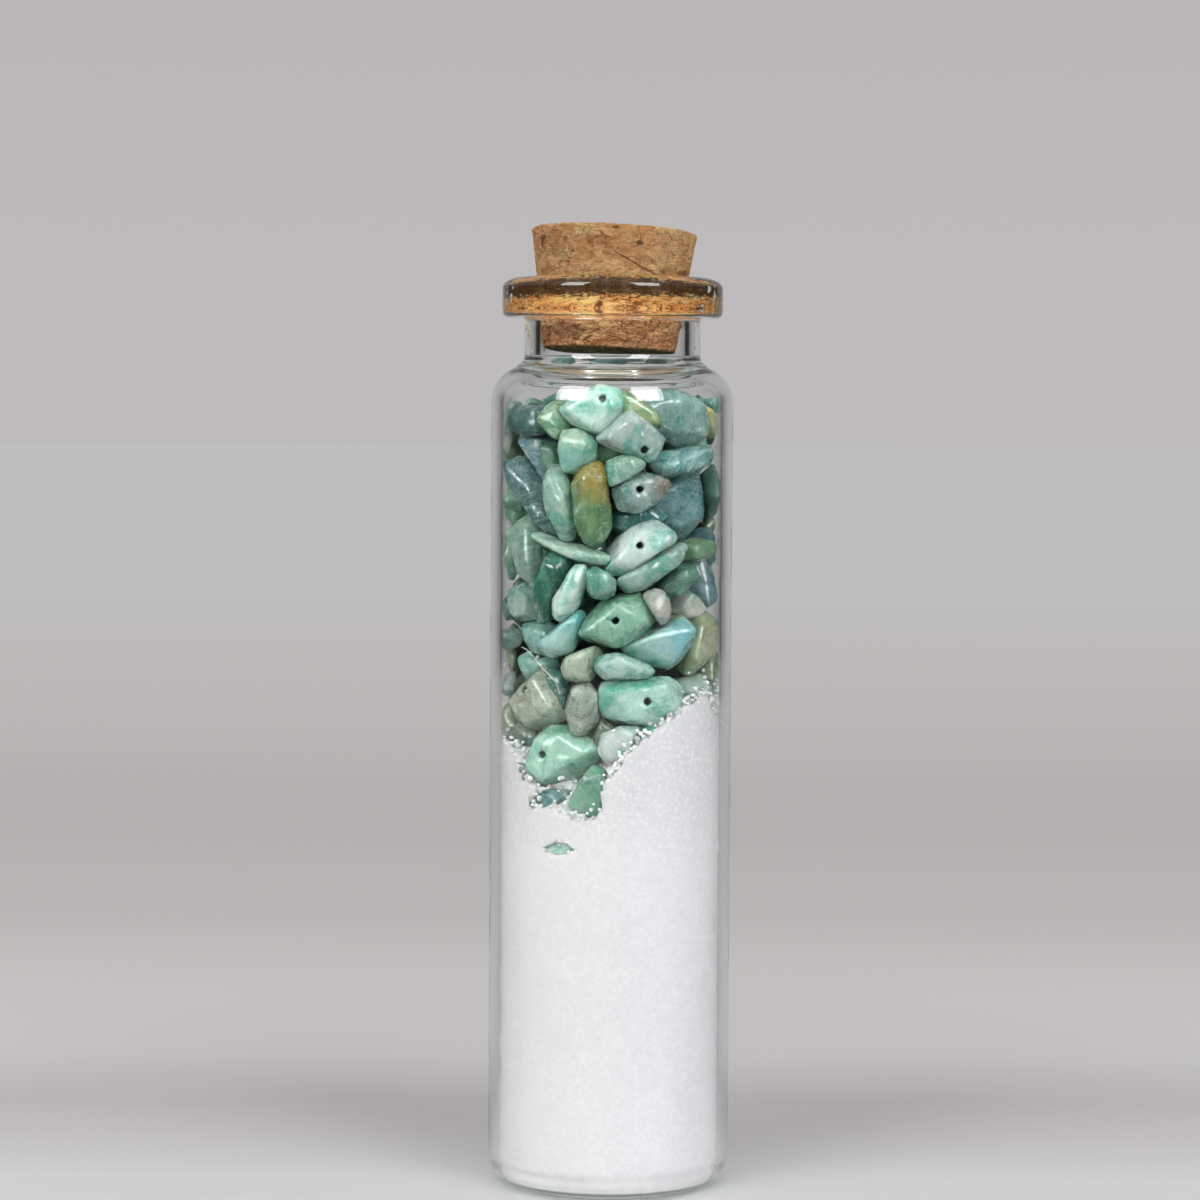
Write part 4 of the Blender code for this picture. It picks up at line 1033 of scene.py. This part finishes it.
# The chips. Looks of those that show from the front, by name.
LOOKS = {
    "pale_top": Stone((185, 220, 205), (214, 234, 224), (235, 244, 238), glow=0.3),
    "kite": Stone((158, 176, 170), (176, 190, 186), (186, 196, 194), cracks=0.3, glow=0.8),
    "cream_block": Stone((170, 192, 172), (196, 208, 186), (146, 190, 180), streaks=0.7, lean=4,
        fades=(((132, 184, 172), (-3.4, 67.8), (-3.6, 66.0)),)),
    "aqua_bar_right": Stone((114, 158, 156), (134, 174, 170), (222, 236, 228), streaks=0.3),
    "aqua_long": Stone((122, 166, 155), (148, 184, 172), (206, 200, 176), streaks=0.5),
    "olive_pill": Stone((74, 124, 90), (98, 142, 98), (146, 150, 92), streaks=0.4, lean=4,
        speck=(52, 60, 40), specks=0.4, fades=(((160, 140, 66), (-2.3, 61.8), (-1.7, 65.0)),)),
    "holed_grey": Stone((128, 150, 146), (166, 184, 180), (206, 214, 210), cracks=0.7,
        fades=(((112, 100, 88), (3.4, 63.0), (4.9, 63.6)),)),
    "white_oval": Stone((182, 202, 197), (200, 214, 210), (240, 244, 242)),
    "pale_sliver": Stone((150, 182, 163), (172, 196, 180), (222, 236, 228)),
    "white_pill": Stone((186, 210, 200), (212, 226, 216), (236, 240, 236)),
    "grey_green_bar": Stone((138, 168, 158), (160, 184, 176), (186, 204, 192), glow=0.4),
    "olive_right": Stone((106, 142, 112), (134, 160, 126), (160, 170, 130)),
    "green_facet": Stone((104, 150, 126), (138, 182, 160), (184, 216, 192), cracks=0.4),
    "pale_triangle": Stone((162, 198, 192), (178, 206, 200), (200, 214, 202), cracks=0.25,
        fades=(((128, 188, 196), (3.8, 49.6), (6.6, 50.4)), ((190, 196, 160), (3.6, 50.8), (3.2, 52.4)))),
    "aqua_hook": Stone((140, 186, 180), (166, 202, 196), (196, 216, 210), lean=50,
        fades=(((104, 186, 184), (-4.4, 50.6), (-3.0, 52.6)),)),
    "beige_wedge": Stone((146, 160, 142), (166, 178, 160), (206, 206, 186), speck=(112, 96, 70), specks=0.7),
    "mint_lens": Stone((150, 180, 172), (172, 198, 190), (206, 226, 212)),
    "mint_brick": Stone((144, 188, 174), (174, 208, 196), (216, 236, 222), streaks=0.08, lean=74, cracks=0.3),
    "khaki_triangle": Stone((152, 164, 148), (186, 196, 182), (212, 216, 200), speck=(124, 106, 76),
        specks=0.75, deep=(0.82, 0.84, 0.74)),
    "grey_oval": Stone((146, 158, 146), (182, 186, 176), (206, 206, 194), speck=(92, 80, 60),
        specks=0.85, deep=(0.7, 0.8, 0.72)),
    "mint_heart": Stone((128, 176, 154), (160, 202, 182), (214, 236, 220), streaks=0.1, cracks=0.4),
    "green_sunk": Stone((96, 146, 122), (122, 166, 144), (150, 194, 164), streaks=0.3),
    "blue_sunk": Stone((84, 124, 130), (110, 146, 150), (160, 186, 184), streaks=0.3),
    "buried_sliver": Stone((154, 200, 180), (180, 216, 200), (214, 232, 222)),
    "slate_sliver": Stone((66, 100, 102), (92, 124, 126), (190, 206, 204), glow=0.45),
    "green_right_low": Stone((150, 174, 164), (172, 190, 182), (184, 206, 186)),
    "speckled": Stone((108, 148, 116), (134, 170, 138), (190, 216, 184), speck=(116, 104, 70), specks=0.9),
    "mint_diagonal": Stone((132, 164, 148), (162, 190, 174), (204, 224, 206)),
    "blue_round": Stone((108, 142, 138), (130, 160, 156), (196, 216, 210), cracks=0.8, glow=0.45),
    "slate_left": Stone((88, 124, 134), (116, 150, 156), (196, 210, 208), streaks=0.6, glow=0.45),
    "slate_round": Stone((78, 118, 124), (100, 140, 144), (170, 196, 194), glow=0.45),
    "mint_cube": Stone((118, 158, 144), (148, 184, 172), (200, 222, 210)),
    "deep_teal": Stone((38, 98, 80), (60, 122, 104), (110, 164, 146), streaks=0.25),
    "dark_right": Stone((70, 114, 98), (92, 134, 116), (130, 164, 142), streaks=0.3),
    "rose_grey": Stone((160, 158, 150), (180, 176, 170), (204, 200, 194), glow=0.4),
    "straw_right": Stone((144, 154, 122), (168, 174, 144), (196, 196, 166), glow=0.45),
    "teal_left_high": Stone((122, 168, 156), (146, 184, 174), (186, 208, 200)),
    "teal_left_low": Stone((142, 182, 170), (160, 192, 182), (186, 208, 200)),
    "dark_top_left": Stone((44, 80, 74), (64, 102, 96), (120, 156, 148), streaks=0.25),
    "grey_left": Stone((128, 154, 138), (154, 176, 160), (190, 204, 190)),
}

# Looks of the chips that don't show from the front, by the record's material slot.
SLOT_LOOKS = {
    "stone_mint": Stone((136, 190, 162), (164, 206, 182), (210, 230, 216)),
    "stone_pale": Stone((180, 208, 196), (206, 224, 214), (232, 240, 234)),
    "stone_aqua": Stone((124, 178, 170), (152, 198, 190), (204, 224, 218)),
    "stone_leaf": Stone((104, 156, 124), (130, 176, 146), (170, 200, 172)),
    "stone_teal": Stone((58, 104, 92), (80, 126, 112), (128, 164, 148), streaks=0.3),
    "stone_slate": Stone((84, 118, 126), (112, 144, 150), (180, 198, 198)),
    "stone_grey": Stone((162, 176, 170), (188, 198, 192), (214, 220, 216)),
    "stone_khaki": Stone((146, 160, 138), (170, 182, 158), (200, 206, 184), speck=(104, 98, 72), specks=0.6),
    "stone_olive": Stone((98, 112, 76), (124, 136, 96), (160, 164, 124)),
}

CHIP_VOXEL = 0.17
CHIP_SWELL = 0.1
CHIP_LUMPS = 0.1
HOLE_WIDER = 0.02


def hollowness(points, faces, normals):
    """How far each point lies below the middle of its neighbours, as in a drilled hole."""
    quads = np.array([face for face in faces if len(face) == 4])
    total, count = np.zeros_like(points), np.zeros(len(points))
    for step in (1, 3):
        np.add.at(total, quads, points[np.roll(quads, -step, axis=1)])
        np.add.at(count, quads, 1)
    middle = total / np.maximum(count, 1)[:, None]
    return np.einsum("ij,ij->i", middle - points, normals) * (count > 0)


# How far behind the glass the half-buried chips lie, with grains before them.
SUNK = {"green_sunk": 0.35, "blue_sunk": 0.5, "buried_sliver": 0.3}


def tumbled(points, faces, seed, behind=0.0):
    """A chip's plain solid as a worn, uneven one, with its hole a little wider than drilled."""
    points, faces, normals = even_mesh(points, faces, CHIP_VOXEL, 4)
    lumps = CHIP_LUMPS * waves(points, 1.5, seed * 7.3) + 0.35 * CHIP_LUMPS * waves(points, 0.6, seed * 3.1)
    in_hole = np.clip(hollowness(points, faces, normals) / 0.01, 0.0, 1.0)
    points = points + normals * ((1 - in_hole) * (CHIP_SWELL + lumps) - in_hole * HOLE_WIDER)[:, None]
    points[:, :2] *= TOUCHES_GLASS / FILL_RADIUS
    most = (TOUCHES_GLASS - behind) / np.maximum(reaches(points), NEAR_NOTHING)
    points[:, :2] *= np.minimum(1.0, most)[:, None]
    return points, faces


def joined(meshes):
    """Several meshes, each points and faces, as one."""
    faces = []
    start = 0
    for mesh_points, mesh_faces in meshes:
        faces += [tuple(corner + start for corner in face) for face in mesh_faces]
        start += len(mesh_points)
    return np.vstack([points for points, _ in meshes]), faces


def tree_of(meshes):
    """A search tree of several meshes."""
    points, faces = joined(meshes)
    return BVHTree.FromPolygons([Vector(point) for point in points], faces)


def hull_of(points):
    """Points and faces of the convex hull."""
    bm = bmesh.new()
    for point in points:
        bm.verts.new(point)
    found = bmesh.ops.convex_hull(bm, input=bm.verts)
    spare = set(found["geom_interior"] + found["geom_unused"])
    spare = [item for item in spare if isinstance(item, bmesh.types.BMVert)]
    bmesh.ops.delete(bm, geom=spare, context="VERTS")
    bm.verts.ensure_lookup_table()
    points = np.array([vert.co[:] for vert in bm.verts])
    faces = [tuple(vert.index for vert in face.verts) for face in bm.faces]
    bm.free()
    return points, faces


def build_chips():
    """Every chip of the frame, worn and uneven, in its own stone: points and faces of each."""
    names = sorted(name for name in NODES if name.startswith("chip_"))
    meshes = []
    for seed, name in enumerate(names, 1):
        short = name.removeprefix("chip_")
        look = LOOKS.get(short) or SLOT_LOOKS[SLOTS[name]]
        points, faces = tumbled(*solid_of(name), seed, SUNK.get(short, 0.0))
        material = stone_material("stone_" + short, look, seed)
        stone = add_piece("stone_" + short, points, faces, material, "jar", SLOTS[name])
        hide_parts(name)
        meshes.append((points, faces))
    return meshes


# Slivers between the chips: name, distance behind the glass, thickness, look, and outline as (across, up)
# from the axis and the base.
SLIVERS = (
    ("sand_shard", 0.5, 2.2, Stone((182, 194, 190), (204, 210, 206), (222, 226, 222), glow=0.5),
     ((-0.7, 41.9), (0.9, 42.6), (2.6, 42.4), (2.1, 41.0), (0.9, 39.5), (-0.4, 39.2), (-1.0, 40.4))),
    ("dark_lens", 2.2, 2.4, Stone((52, 108, 104), (76, 136, 132), (120, 168, 162)),
     ((-0.2, 61.5), (1.8, 61.2), (4.0, 62.0), (5.1, 61.0), (3.5, 59.8), (1.1, 59.4), (-0.2, 60.1))),
    ("green_shadow", 2.6, 2.6, Stone((70, 120, 92), (96, 142, 112), (130, 166, 138)),
     ((-1.9, 65.9), (-1.6, 67.7), (-0.2, 67.9), (1.4, 67.0), (0.2, 65.9), (-1.1, 65.2))),
    ("slate_edge", 0.6, 2.6, Stone((74, 108, 116), (98, 132, 138), (150, 176, 176)),
     ((7.2, 57.3), (8.3, 59.8), (9.6, 60.0), (9.6, 58.2), (9.5, 56.6), (8.3, 55.6), (7.3, 55.0))),
    ("brown_crumb", 0.3, 1.6, Stone((104, 112, 96), (84, 140, 130), (140, 150, 130)),
     ((-8.8, 41.7), (-8.2, 42.4), (-6.9, 41.7), (-6.7, 40.6), (-8.0, 40.2), (-8.7, 40.8))),
    ("olive_shard", 1.2, 2.8, Stone((140, 158, 118), (176, 184, 140), (200, 196, 150), glow=0.5),
     ((0.2, 72.4), (1.4, 72.3), (2.7, 71.0), (4.1, 70.3), (4.4, 69.1), (2.7, 68.7), (0.7, 69.6))),
    ("amber_edge", 0.2, 1.6, Stone((196, 176, 112), (178, 188, 150), (214, 204, 160), glow=0.5),
     ((8.0, 71.2), (8.7, 71.0), (9.6, 69.2), (9.4, 67.9), (8.7, 68.7))),
    ("beige_point", 0.8, 2.6, Stone((176, 176, 166), (196, 194, 184), (214, 212, 204), glow=0.4),
     ((5.8, 52.7), (6.2, 54.0), (6.9, 54.6), (7.7, 54.0), (8.6, 52.7), (8.0, 51.9), (6.6, 51.7))),
    ("striped_edge", 0.4, 2.8, Stone((140, 166, 154), (164, 182, 172), (190, 204, 196), streaks=0.7),
     ((-9.0, 54.7), (-8.1, 55.0), (-7.1, 54.1), (-6.9, 51.9), (-8.6, 51.3), (-9.0, 52.7))),
    ("olive_dark", 1.6, 2.6, Stone((96, 116, 92), (120, 138, 112), (150, 164, 136)),
     ((-7.5, 58.4), (-6.2, 59.1), (-5.1, 58.0), (-5.6, 56.3), (-6.8, 55.6), (-7.4, 56.8))),
    ("green_dark", 2.0, 2.6, Stone((66, 108, 88), (88, 130, 108), (124, 158, 134)),
     ((-6.6, 67.9), (-5.1, 67.5), (-4.4, 66.1), (-4.7, 64.3), (-5.7, 64.3), (-6.3, 66.1))),
    ("olive_crumb", 1.4, 1.8, Stone((86, 104, 80), (104, 124, 96), (134, 148, 120)),
     ((-1.6, 41.8), (-0.8, 43.2), (0.2, 42.5), (-0.2, 40.8), (-1.2, 40.6))),
    ("teal_slip", 1.8, 2.0, Stone((60, 110, 100), (82, 134, 122), (120, 160, 148)),
     ((-5.7, 47.5), (-4.2, 47.1), (-3.6, 45.4), (-3.8, 43.1), (-4.8, 43.6), (-5.5, 45.4))),
    ("teal_chip", 0.3, 1.4, Stone((96, 176, 164), (120, 194, 182), (160, 210, 200)),
     ((2.5, 41.4), (3.0, 42.4), (4.4, 42.6), (5.0, 42.0), (4.4, 41.4), (3.2, 41.0))),
)
# A sliver's widest ring and the faces before and behind it: share of the outline, and of the thickness.
SLIVER_RINGS = ((1, 0.42), (0.68, 0.0), (0.72, 1.0))
# Share of the wall's turn that a sliver follows.
SLIVER_TURN = 0.7


def drawn_chip(outline, thickness, behind):
    """A chip whose widest outline shows from the front, with its face that far behind the glass."""
    drawn = np.array(outline)
    centre = drawn.mean(axis=0)
    turn = SLIVER_TURN * math.asin(max(-0.95, min(0.95, centre[0] / FILL_RADIUS)))
    across = np.array((math.cos(turn), math.sin(turn), 0.0))
    inward = np.array((-math.sin(turn), math.cos(turn), 0.0))
    local = (drawn - centre) / (math.cos(turn), 1.0)
    origin = np.array((centre[0], 0.0, centre[1]))
    points = []
    for share, depth in SLIVER_RINGS:
        for right, rise in local * share:
            points.append(origin + across * right + (0, 0, rise) + inward * thickness * depth)
    points = np.array(points)
    wall = FILL_RADIUS - behind
    room = [math.sqrt(max(0.5, wall**2 - point[0] ** 2)) + point[1] for point in points]
    points[:, 1] -= min(room)
    return hull_of(points)


def build_slivers(first_seed):
    """The slivers, as points and faces of each."""
    meshes = []
    for seed, (name, behind, thickness, look, outline) in enumerate(SLIVERS, first_seed):
        points, faces = tumbled(*drawn_chip(outline, thickness, behind), seed)
        material = stone_material("sliver_" + name, look, seed)
        add_piece("sliver_" + name, points, faces, material, "jar", "stone_leaf")
        meshes.append((points, faces))
    return meshes


# Small stones go wherever there is the least room for one, a little over size so that they wedge. Those
# by the glass are lens-shaped, and start this far round from the front.
ROOM_TRIES = 9000
ROOM_LEAST = 0.8
ROOM_SEED = 200
WALL_TRIES = 5000
WALL_DEPTH = 0.85
WALL_LEAST = 0.55
WALL_SEED = 600
WALL_FROM = math.radians(74)
# None in the middle goes further out than this on the front side, where the photo shows deep gaps.
SEEN_REACH = 6.3
SEEN_SHARE = 0.05
WEDGE = 1.3
FILL_BOTTOM = 36.0
FILL_TOP = 71.0
WALL_LOOKS = {
    "wall_mint": ("stone_mint", Stone((120, 158, 136), (146, 178, 158), (176, 200, 184))),
    "wall_aqua": ("stone_aqua", Stone((104, 150, 144), (130, 172, 166), (180, 206, 200))),
    "wall_grey": ("stone_grey", Stone((124, 140, 132), (148, 162, 154), (180, 190, 184))),
    "wall_teal": ("stone_teal", Stone((66, 104, 96), (86, 126, 116), (120, 154, 144))),
    "wall_khaki": ("stone_khaki", Stone((128, 138, 112), (150, 158, 132), (176, 180, 154))),
}
# Painted shade: the stones deep in the gaps are coloured much darker than the chips, for the shade there.
CORE_SHADE_LOOKS = {
    "core_teal_shaded": ("stone_teal", Stone((34, 66, 58), (50, 84, 74), (74, 108, 96))),
    "core_leaf_shaded": ("stone_leaf", Stone((50, 80, 64), (66, 98, 78), (90, 122, 100))),
    "core_slate_shaded": ("stone_slate", Stone((42, 64, 70), (58, 82, 88), (84, 108, 112))),
}


def rough_stone(middle, axes, turn, chance, corners=18):
    """A rounded hull of points spread over an ellipsoid."""
    points = []
    for _ in range(corners):
        direction = np.array([chance.gauss(0, 1) for _ in range(3)])
        points.append(direction / np.linalg.norm(direction) * axes)
    return hull_of(np.array(points) @ turn.T + middle)


def packed_rooms(spots, rooms, least):
    """The spots with the most room, each clear of those taken before it, as (spot, room)."""
    spots, rooms = np.array(spots), np.array(rooms)
    while len(rooms) and rooms.max() > least:
        best = int(rooms.argmax())
        middle, room = spots[best].copy(), float(rooms[best])
        yield middle, room
        rooms = np.minimum(rooms, np.linalg.norm(spots - middle, axis=1) - 0.9 * WEDGE * room)


def add_groups(looks, meshes, first_seed):
    """The meshes joined by colour, which they take in turn."""
    for seed, (name, (slot, look)) in enumerate(looks.items(), first_seed):
        group = meshes[seed - first_seed::len(looks)]
        if group:
            points, faces = joined(group)
            add_piece(name, points, faces, stone_material(name, look, seed), "jar", slot)


def build_wall_stones(chip_meshes, sand_tree):
    """Stones against the glass, beside and behind, where the larger chips leave the wall bare."""
    chance = random.Random(17)
    tree = tree_of(chip_meshes)
    spots, rooms = [], []
    for _ in range(WALL_TRIES):
        around = chance.uniform(WALL_FROM, 2 * math.pi - WALL_FROM)
        spot = round_axis(FILL_RADIUS - WALL_DEPTH, around, chance.uniform(FILL_BOTTOM, FILL_TOP))
        room = min(outside(tree, spot), outside(sand_tree, spot) + 0.5, FILL_TOP + 1 - spot[2], 2.2)
        if room > WALL_LEAST:
            spots.append(spot)
            rooms.append(room)
    meshes = []
    up = np.array((0.0, 0.0, 1.0))
    for count, (middle, room) in enumerate(packed_rooms(spots, rooms, WALL_LEAST)):
        out = np.array((middle[0], middle[1], 0.0)) / math.hypot(middle[0], middle[1])
        side = np.array((-out[1], out[0], 0.0))
        lean = chance.uniform(-1.2, 1.2)
        turn = np.column_stack((
            out, side * math.cos(lean) + up * math.sin(lean), up * math.cos(lean) - side * math.sin(lean)))
        axes = np.array((WALL_DEPTH * 1.25, room * WEDGE * 1.15, room * WEDGE * chance.uniform(1.0, 1.5)))
        meshes.append(tumbled(*rough_stone(middle, axes, turn, chance), WALL_SEED + count))
    add_groups(WALL_LOOKS, meshes, first_seed=500)
    return meshes


def build_core_stones(chip_meshes, sand_tree):
    """Small stones in the gaps between the chips, coloured much darker as painted shade of the deep gaps."""
    chance = random.Random(29)
    tree = tree_of(chip_meshes)
    spots, rooms = [], []
    for _ in range(ROOM_TRIES):
        around = chance.uniform(0, 2 * math.pi)
        reach = FILL_RADIUS * math.sqrt(chance.random())
        spot = round_axis(reach, around, chance.uniform(FILL_BOTTOM + 2, FILL_TOP))
        room = min(FILL_RADIUS - reach, FILL_TOP + 0.5 - spot[2], 3.0)
        in_front = reach > SEEN_REACH and -spot[1] > SEEN_SHARE * reach
        if room < ROOM_LEAST or in_front or outside(sand_tree, spot) < 0.2:
            continue
        room = min(room, outside(tree, spot))
        if room > ROOM_LEAST:
            spots.append(spot)
            rooms.append(room)
    meshes = []
    for count, (middle, room) in enumerate(packed_rooms(spots, rooms, ROOM_LEAST)):
        size = room * WEDGE
        shares = [chance.uniform(*least_most) for least_most in ((0.85, 1.25), (0.8, 1.05), (0.7, 0.95))]
        axes = np.array(shares) * size
        turn = any_turn(chance)
        meshes.append(tumbled(*rough_stone(middle, axes, turn, chance), ROOM_SEED + count))
    add_groups(CORE_SHADE_LOOKS, meshes, first_seed=520)


# Stage, lights and camera. The floor and the lamps are in metres, the camera in millimetres.

FRAME_SIDE = 1200
CAMERA_BACK = 306.0
CAMERA_UP = 70.7
CAMERA_DOWN = math.radians(3.26)
CAMERA_ROLL = math.radians(0.33)
FOCAL_PIXELS = 3366.0
AXIS_RIGHT_OF_MIDDLE = 11.0
SIDE_GREY = (22, 22, 21)
NEAR_SIDE_GREY = (170, 168, 168)
FLOOR_HALF = 6.0
FLOOR_HEIGHT = -0.00004
# The floor's grey, by its place on the way from the jar to a metre behind it. Its dip a few centimetres
# behind the jar is painted shade of the jar, and its dip at about a quarter metre is painted shade of a
# backdrop's bend.
FLOOR_GREYS_AND_SHADE = (
    (0.0, 212), (0.018, 198), (0.035, 188), (0.06, 200), (0.1, 195), (0.16, 184), (0.26, 177),
    (0.33, 178), (0.45, 185), (0.7, 188), (1.0, 190),
)
FLOOR_LIFT = 1.28
# Beside and before the jar, the floor is plain this far away.
FLOOR_PLAIN_FROM = 0.06
LAMPS_AIM_AT = 60
CARD_AHEAD = 2


def seen_ray(tree):
    """1 for rays that show the surroundings to the camera, straight, mirrored or through glass."""
    path = node(tree, "LightPath").outputs
    mirrored = maths(tree, "MAXIMUM", path["Is Camera Ray"], path["Is Glossy Ray"])
    return maths(tree, "MAXIMUM", mirrored, path["Is Transmission Ray"])


def floor_material():
    """Pale near the jar, where it takes its shadow, with painted shade in its grey a little behind the jar
    and further back, grading into the backdrop's grey behind it.
    """
    material, tree = new_tree("pale_floor")
    place = node(tree, "TexCoord").outputs["Object"]
    parts = split(tree, place)
    away = vector_maths(tree, "LENGTH", place)["Value"]
    apart = maths(tree, "MAXIMUM", parts["Y"], maths(tree, "SUBTRACT", away, FLOOR_PLAIN_FROM))
    grey = node(tree, "ValToRGB", {
        0: node(tree, "MapRange", {"Value": apart, "From Min": 0.0, "From Max": 1.0}).outputs[0],
    })
    ramp = grey.color_ramp.elements
    for element, (position, value) in zip(ramp, (FLOOR_GREYS_AND_SHADE[0], FLOOR_GREYS_AND_SHADE[-1])):
        element.position = position
        element.color = paint((value,) * 3)
    for position, value in FLOOR_GREYS_AND_SHADE[1:-1]:
        ramp.new(position).color = paint((value + 1, value - 2, value - 2))
    lifted = vector_maths(tree, "MULTIPLY", grey.outputs[0], (FLOOR_LIFT,) * 3)[0]
    matt = node(tree, "BsdfDiffuse", {"Color": lifted})
    side = blend(tree, spread(tree, away, 0.38, 0.75), NEAR_SIDE_GREY, SIDE_GREY)
    back = camera_or(tree, facing_back(tree, maths(tree, "DIVIDE", parts["Y"], away)))
    seen = blend(tree, back, side, grey.outputs[0])
    plain = node(tree, "Emission", {"Color": seen, "Strength": 1.0})
    share = times(tree, spread(tree, away, 0.02, 0.13), seen_ray(tree))
    finish_with(tree, mix_shaders(tree, share, matt, plain))
    return material


def flat_card(name, x, y, height, material):
    """A level rectangle, from the half of its sides in metres."""
    mesh = bpy.data.meshes.new(name)
    mesh.from_pydata([(-x, -y, height), (x, -y, height), (x, y, height), (-x, y, height)], [], [(0, 1, 2, 3)])
    mesh.materials.append(material)
    return link(bpy.data.objects.new(name, mesh))


def build_floor():
    floor = flat_card("studio_floor", FLOOR_HALF, FLOOR_HALF, FLOOR_HEIGHT, floor_material())
    floor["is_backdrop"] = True


def facing_back(tree, along):
    """1 straight behind the jar and 0 beside and before it, which gives the glass its dark edges."""
    share = node(tree, "MapRange", {"Value": along, "From Min": 0.59, "From Max": 0.98}).outputs[0]
    return times(tree, share, spread(tree, along, 0.69, 0.78))


def camera_or(tree, share):
    """The share, or 1 for what the camera sees straight."""
    return maths(tree, "MAXIMUM", share, node(tree, "LightPath").outputs["Is Camera Ray"])


def build_world():
    """Backdrop grey behind the jar, darker beside and before it, and plain soft light on matt surfaces."""
    world = bpy.data.worlds.new("studio")
    world.use_nodes = True
    tree = world.node_tree
    tree.nodes.clear()
    parts = split(tree, node(tree, "TexCoord").outputs["Generated"])
    back = blend(tree, spread(tree, parts["Z"], 0.0, 0.22), (190, 187, 188), (184, 180, 180))
    side = blend(tree, spread(tree, parts["Z"], 0.06, 0.3), SIDE_GREY, (158, 156, 157))
    back = blend(tree, camera_or(tree, facing_back(tree, parts["Y"])), side, back)
    room = blend(tree, spread(tree, parts["Z"], -0.1, 0.8), (0.2, 0.2, 0.2, 1.0), (0.4, 0.4, 0.41, 1.0))
    sky = node(tree, "Background", {0: blend(tree, seen_ray(tree), room, back), 1: 1.0})
    node(tree, "OutputWorld", {"Surface": sky.outputs[0]})
    bpy.context.scene.world = world


def add_softbox(name, azimuth, elevation, distance, size, power):
    """A rectangular lamp aimed at the jar. Azimuth is round from the front towards +X, in degrees."""
    lamp = bpy.data.lights.new(name, "AREA")
    lamp.shape = "RECTANGLE"
    lamp.size, lamp.size_y = size
    lamp.energy = power
    box = bpy.data.objects.new(name, lamp)
    a, e = math.radians(azimuth), math.radians(elevation)
    towards = Vector((math.sin(a) * math.cos(e), -math.cos(a) * math.cos(e), math.sin(e)))
    box.location = Vector((0, 0, LAMPS_AIM_AT * MM)) + towards * distance
    box.rotation_euler = (-towards).to_track_quat("-Z", "Y").to_euler()
    return link(box)


def add_glint(name, softbox, strength):
    """A card just before a lamp that only the gloss of the glass sees, as bright as real softboxes are."""
    material, tree = new_tree(name)
    material.cycles.emission_sampling = "NONE"
    glossy = node(tree, "LightPath").outputs["Is Glossy Ray"]
    glow = node(tree, "Emission", {"Color": (1.0, 1.0, 1.0, 1.0), "Strength": strength})
    clear = node(tree, "BsdfTransparent")
    both = node(tree, "AddShader", {0: glow.outputs[0], 1: clear.outputs[0]})
    finish_with(tree, mix_shaders(tree, glossy, clear, both))
    card = flat_card(name, softbox.data.size / 2, softbox.data.size_y / 2, 0.0, material)
    bpy.context.view_layer.update()
    card.matrix_world = softbox.matrix_world @ Matrix.Translation((0, 0, -CARD_AHEAD * MM))
    card.visible_shadow = False
    card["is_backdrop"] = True


def build_lights():
    for name, azimuth in (("left", -42), ("right", 37)):
        softbox = add_softbox("softbox_" + name, azimuth, 28, 0.6, (0.27, 0.42), power=0.87)
        add_glint("glint_" + name, softbox, strength=8.0)
    above = add_softbox("softbox_above", 0, 50, 0.9, (1.2, 0.9), power=1.5)
    behind = add_softbox("softbox_behind", 180, 50, 0.9, (1.2, 0.9), power=0.9)
    above.visible_glossy = behind.visible_glossy = behind.visible_transmission = False


def build_camera():
    lens = bpy.data.cameras.new("camera")
    lens.sensor_width = 36.0
    lens.lens = FOCAL_PIXELS / FRAME_SIDE * lens.sensor_width
    lens.shift_x = -AXIS_RIGHT_OF_MIDDLE / FRAME_SIDE
    lens.clip_start = 0.01
    camera = link(bpy.data.objects.new("camera", lens))
    turn = Matrix.Rotation(math.pi / 2 - CAMERA_DOWN, 4, "X") @ Matrix.Rotation(CAMERA_ROLL, 4, "Z")
    camera.matrix_world = Matrix.Translation((0, -CAMERA_BACK * MM, CAMERA_UP * MM)) @ turn
    bpy.context.scene.camera = camera


def main():
    glass = build_glass()
    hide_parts("bottle")
    cork = build_cork()
    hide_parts("cork_stopper")
    sand, points, faces, normals, loose = build_sand()
    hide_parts("sand_fill")
    meshes = build_chips()
    meshes += build_slivers(len(meshes) + 1)
    sand_tree = tree_of([(points, faces)])
    meshes += build_wall_stones(meshes, sand_tree)
    build_core_stones(meshes, sand_tree)
    build_grains(points, normals, loose, tree_of(meshes), sand_tree)
    build_fibre()
    build_crumbs()
    build_floor()
    build_world()
    build_lights()
    build_camera()
    bpy.context.scene.view_settings.view_transform = "Standard"
    boxes = {"cad": cad_bounds, "visual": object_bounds()}
    {key: [list(corner) for corner in box] for key, box in boxes.items()}


main()
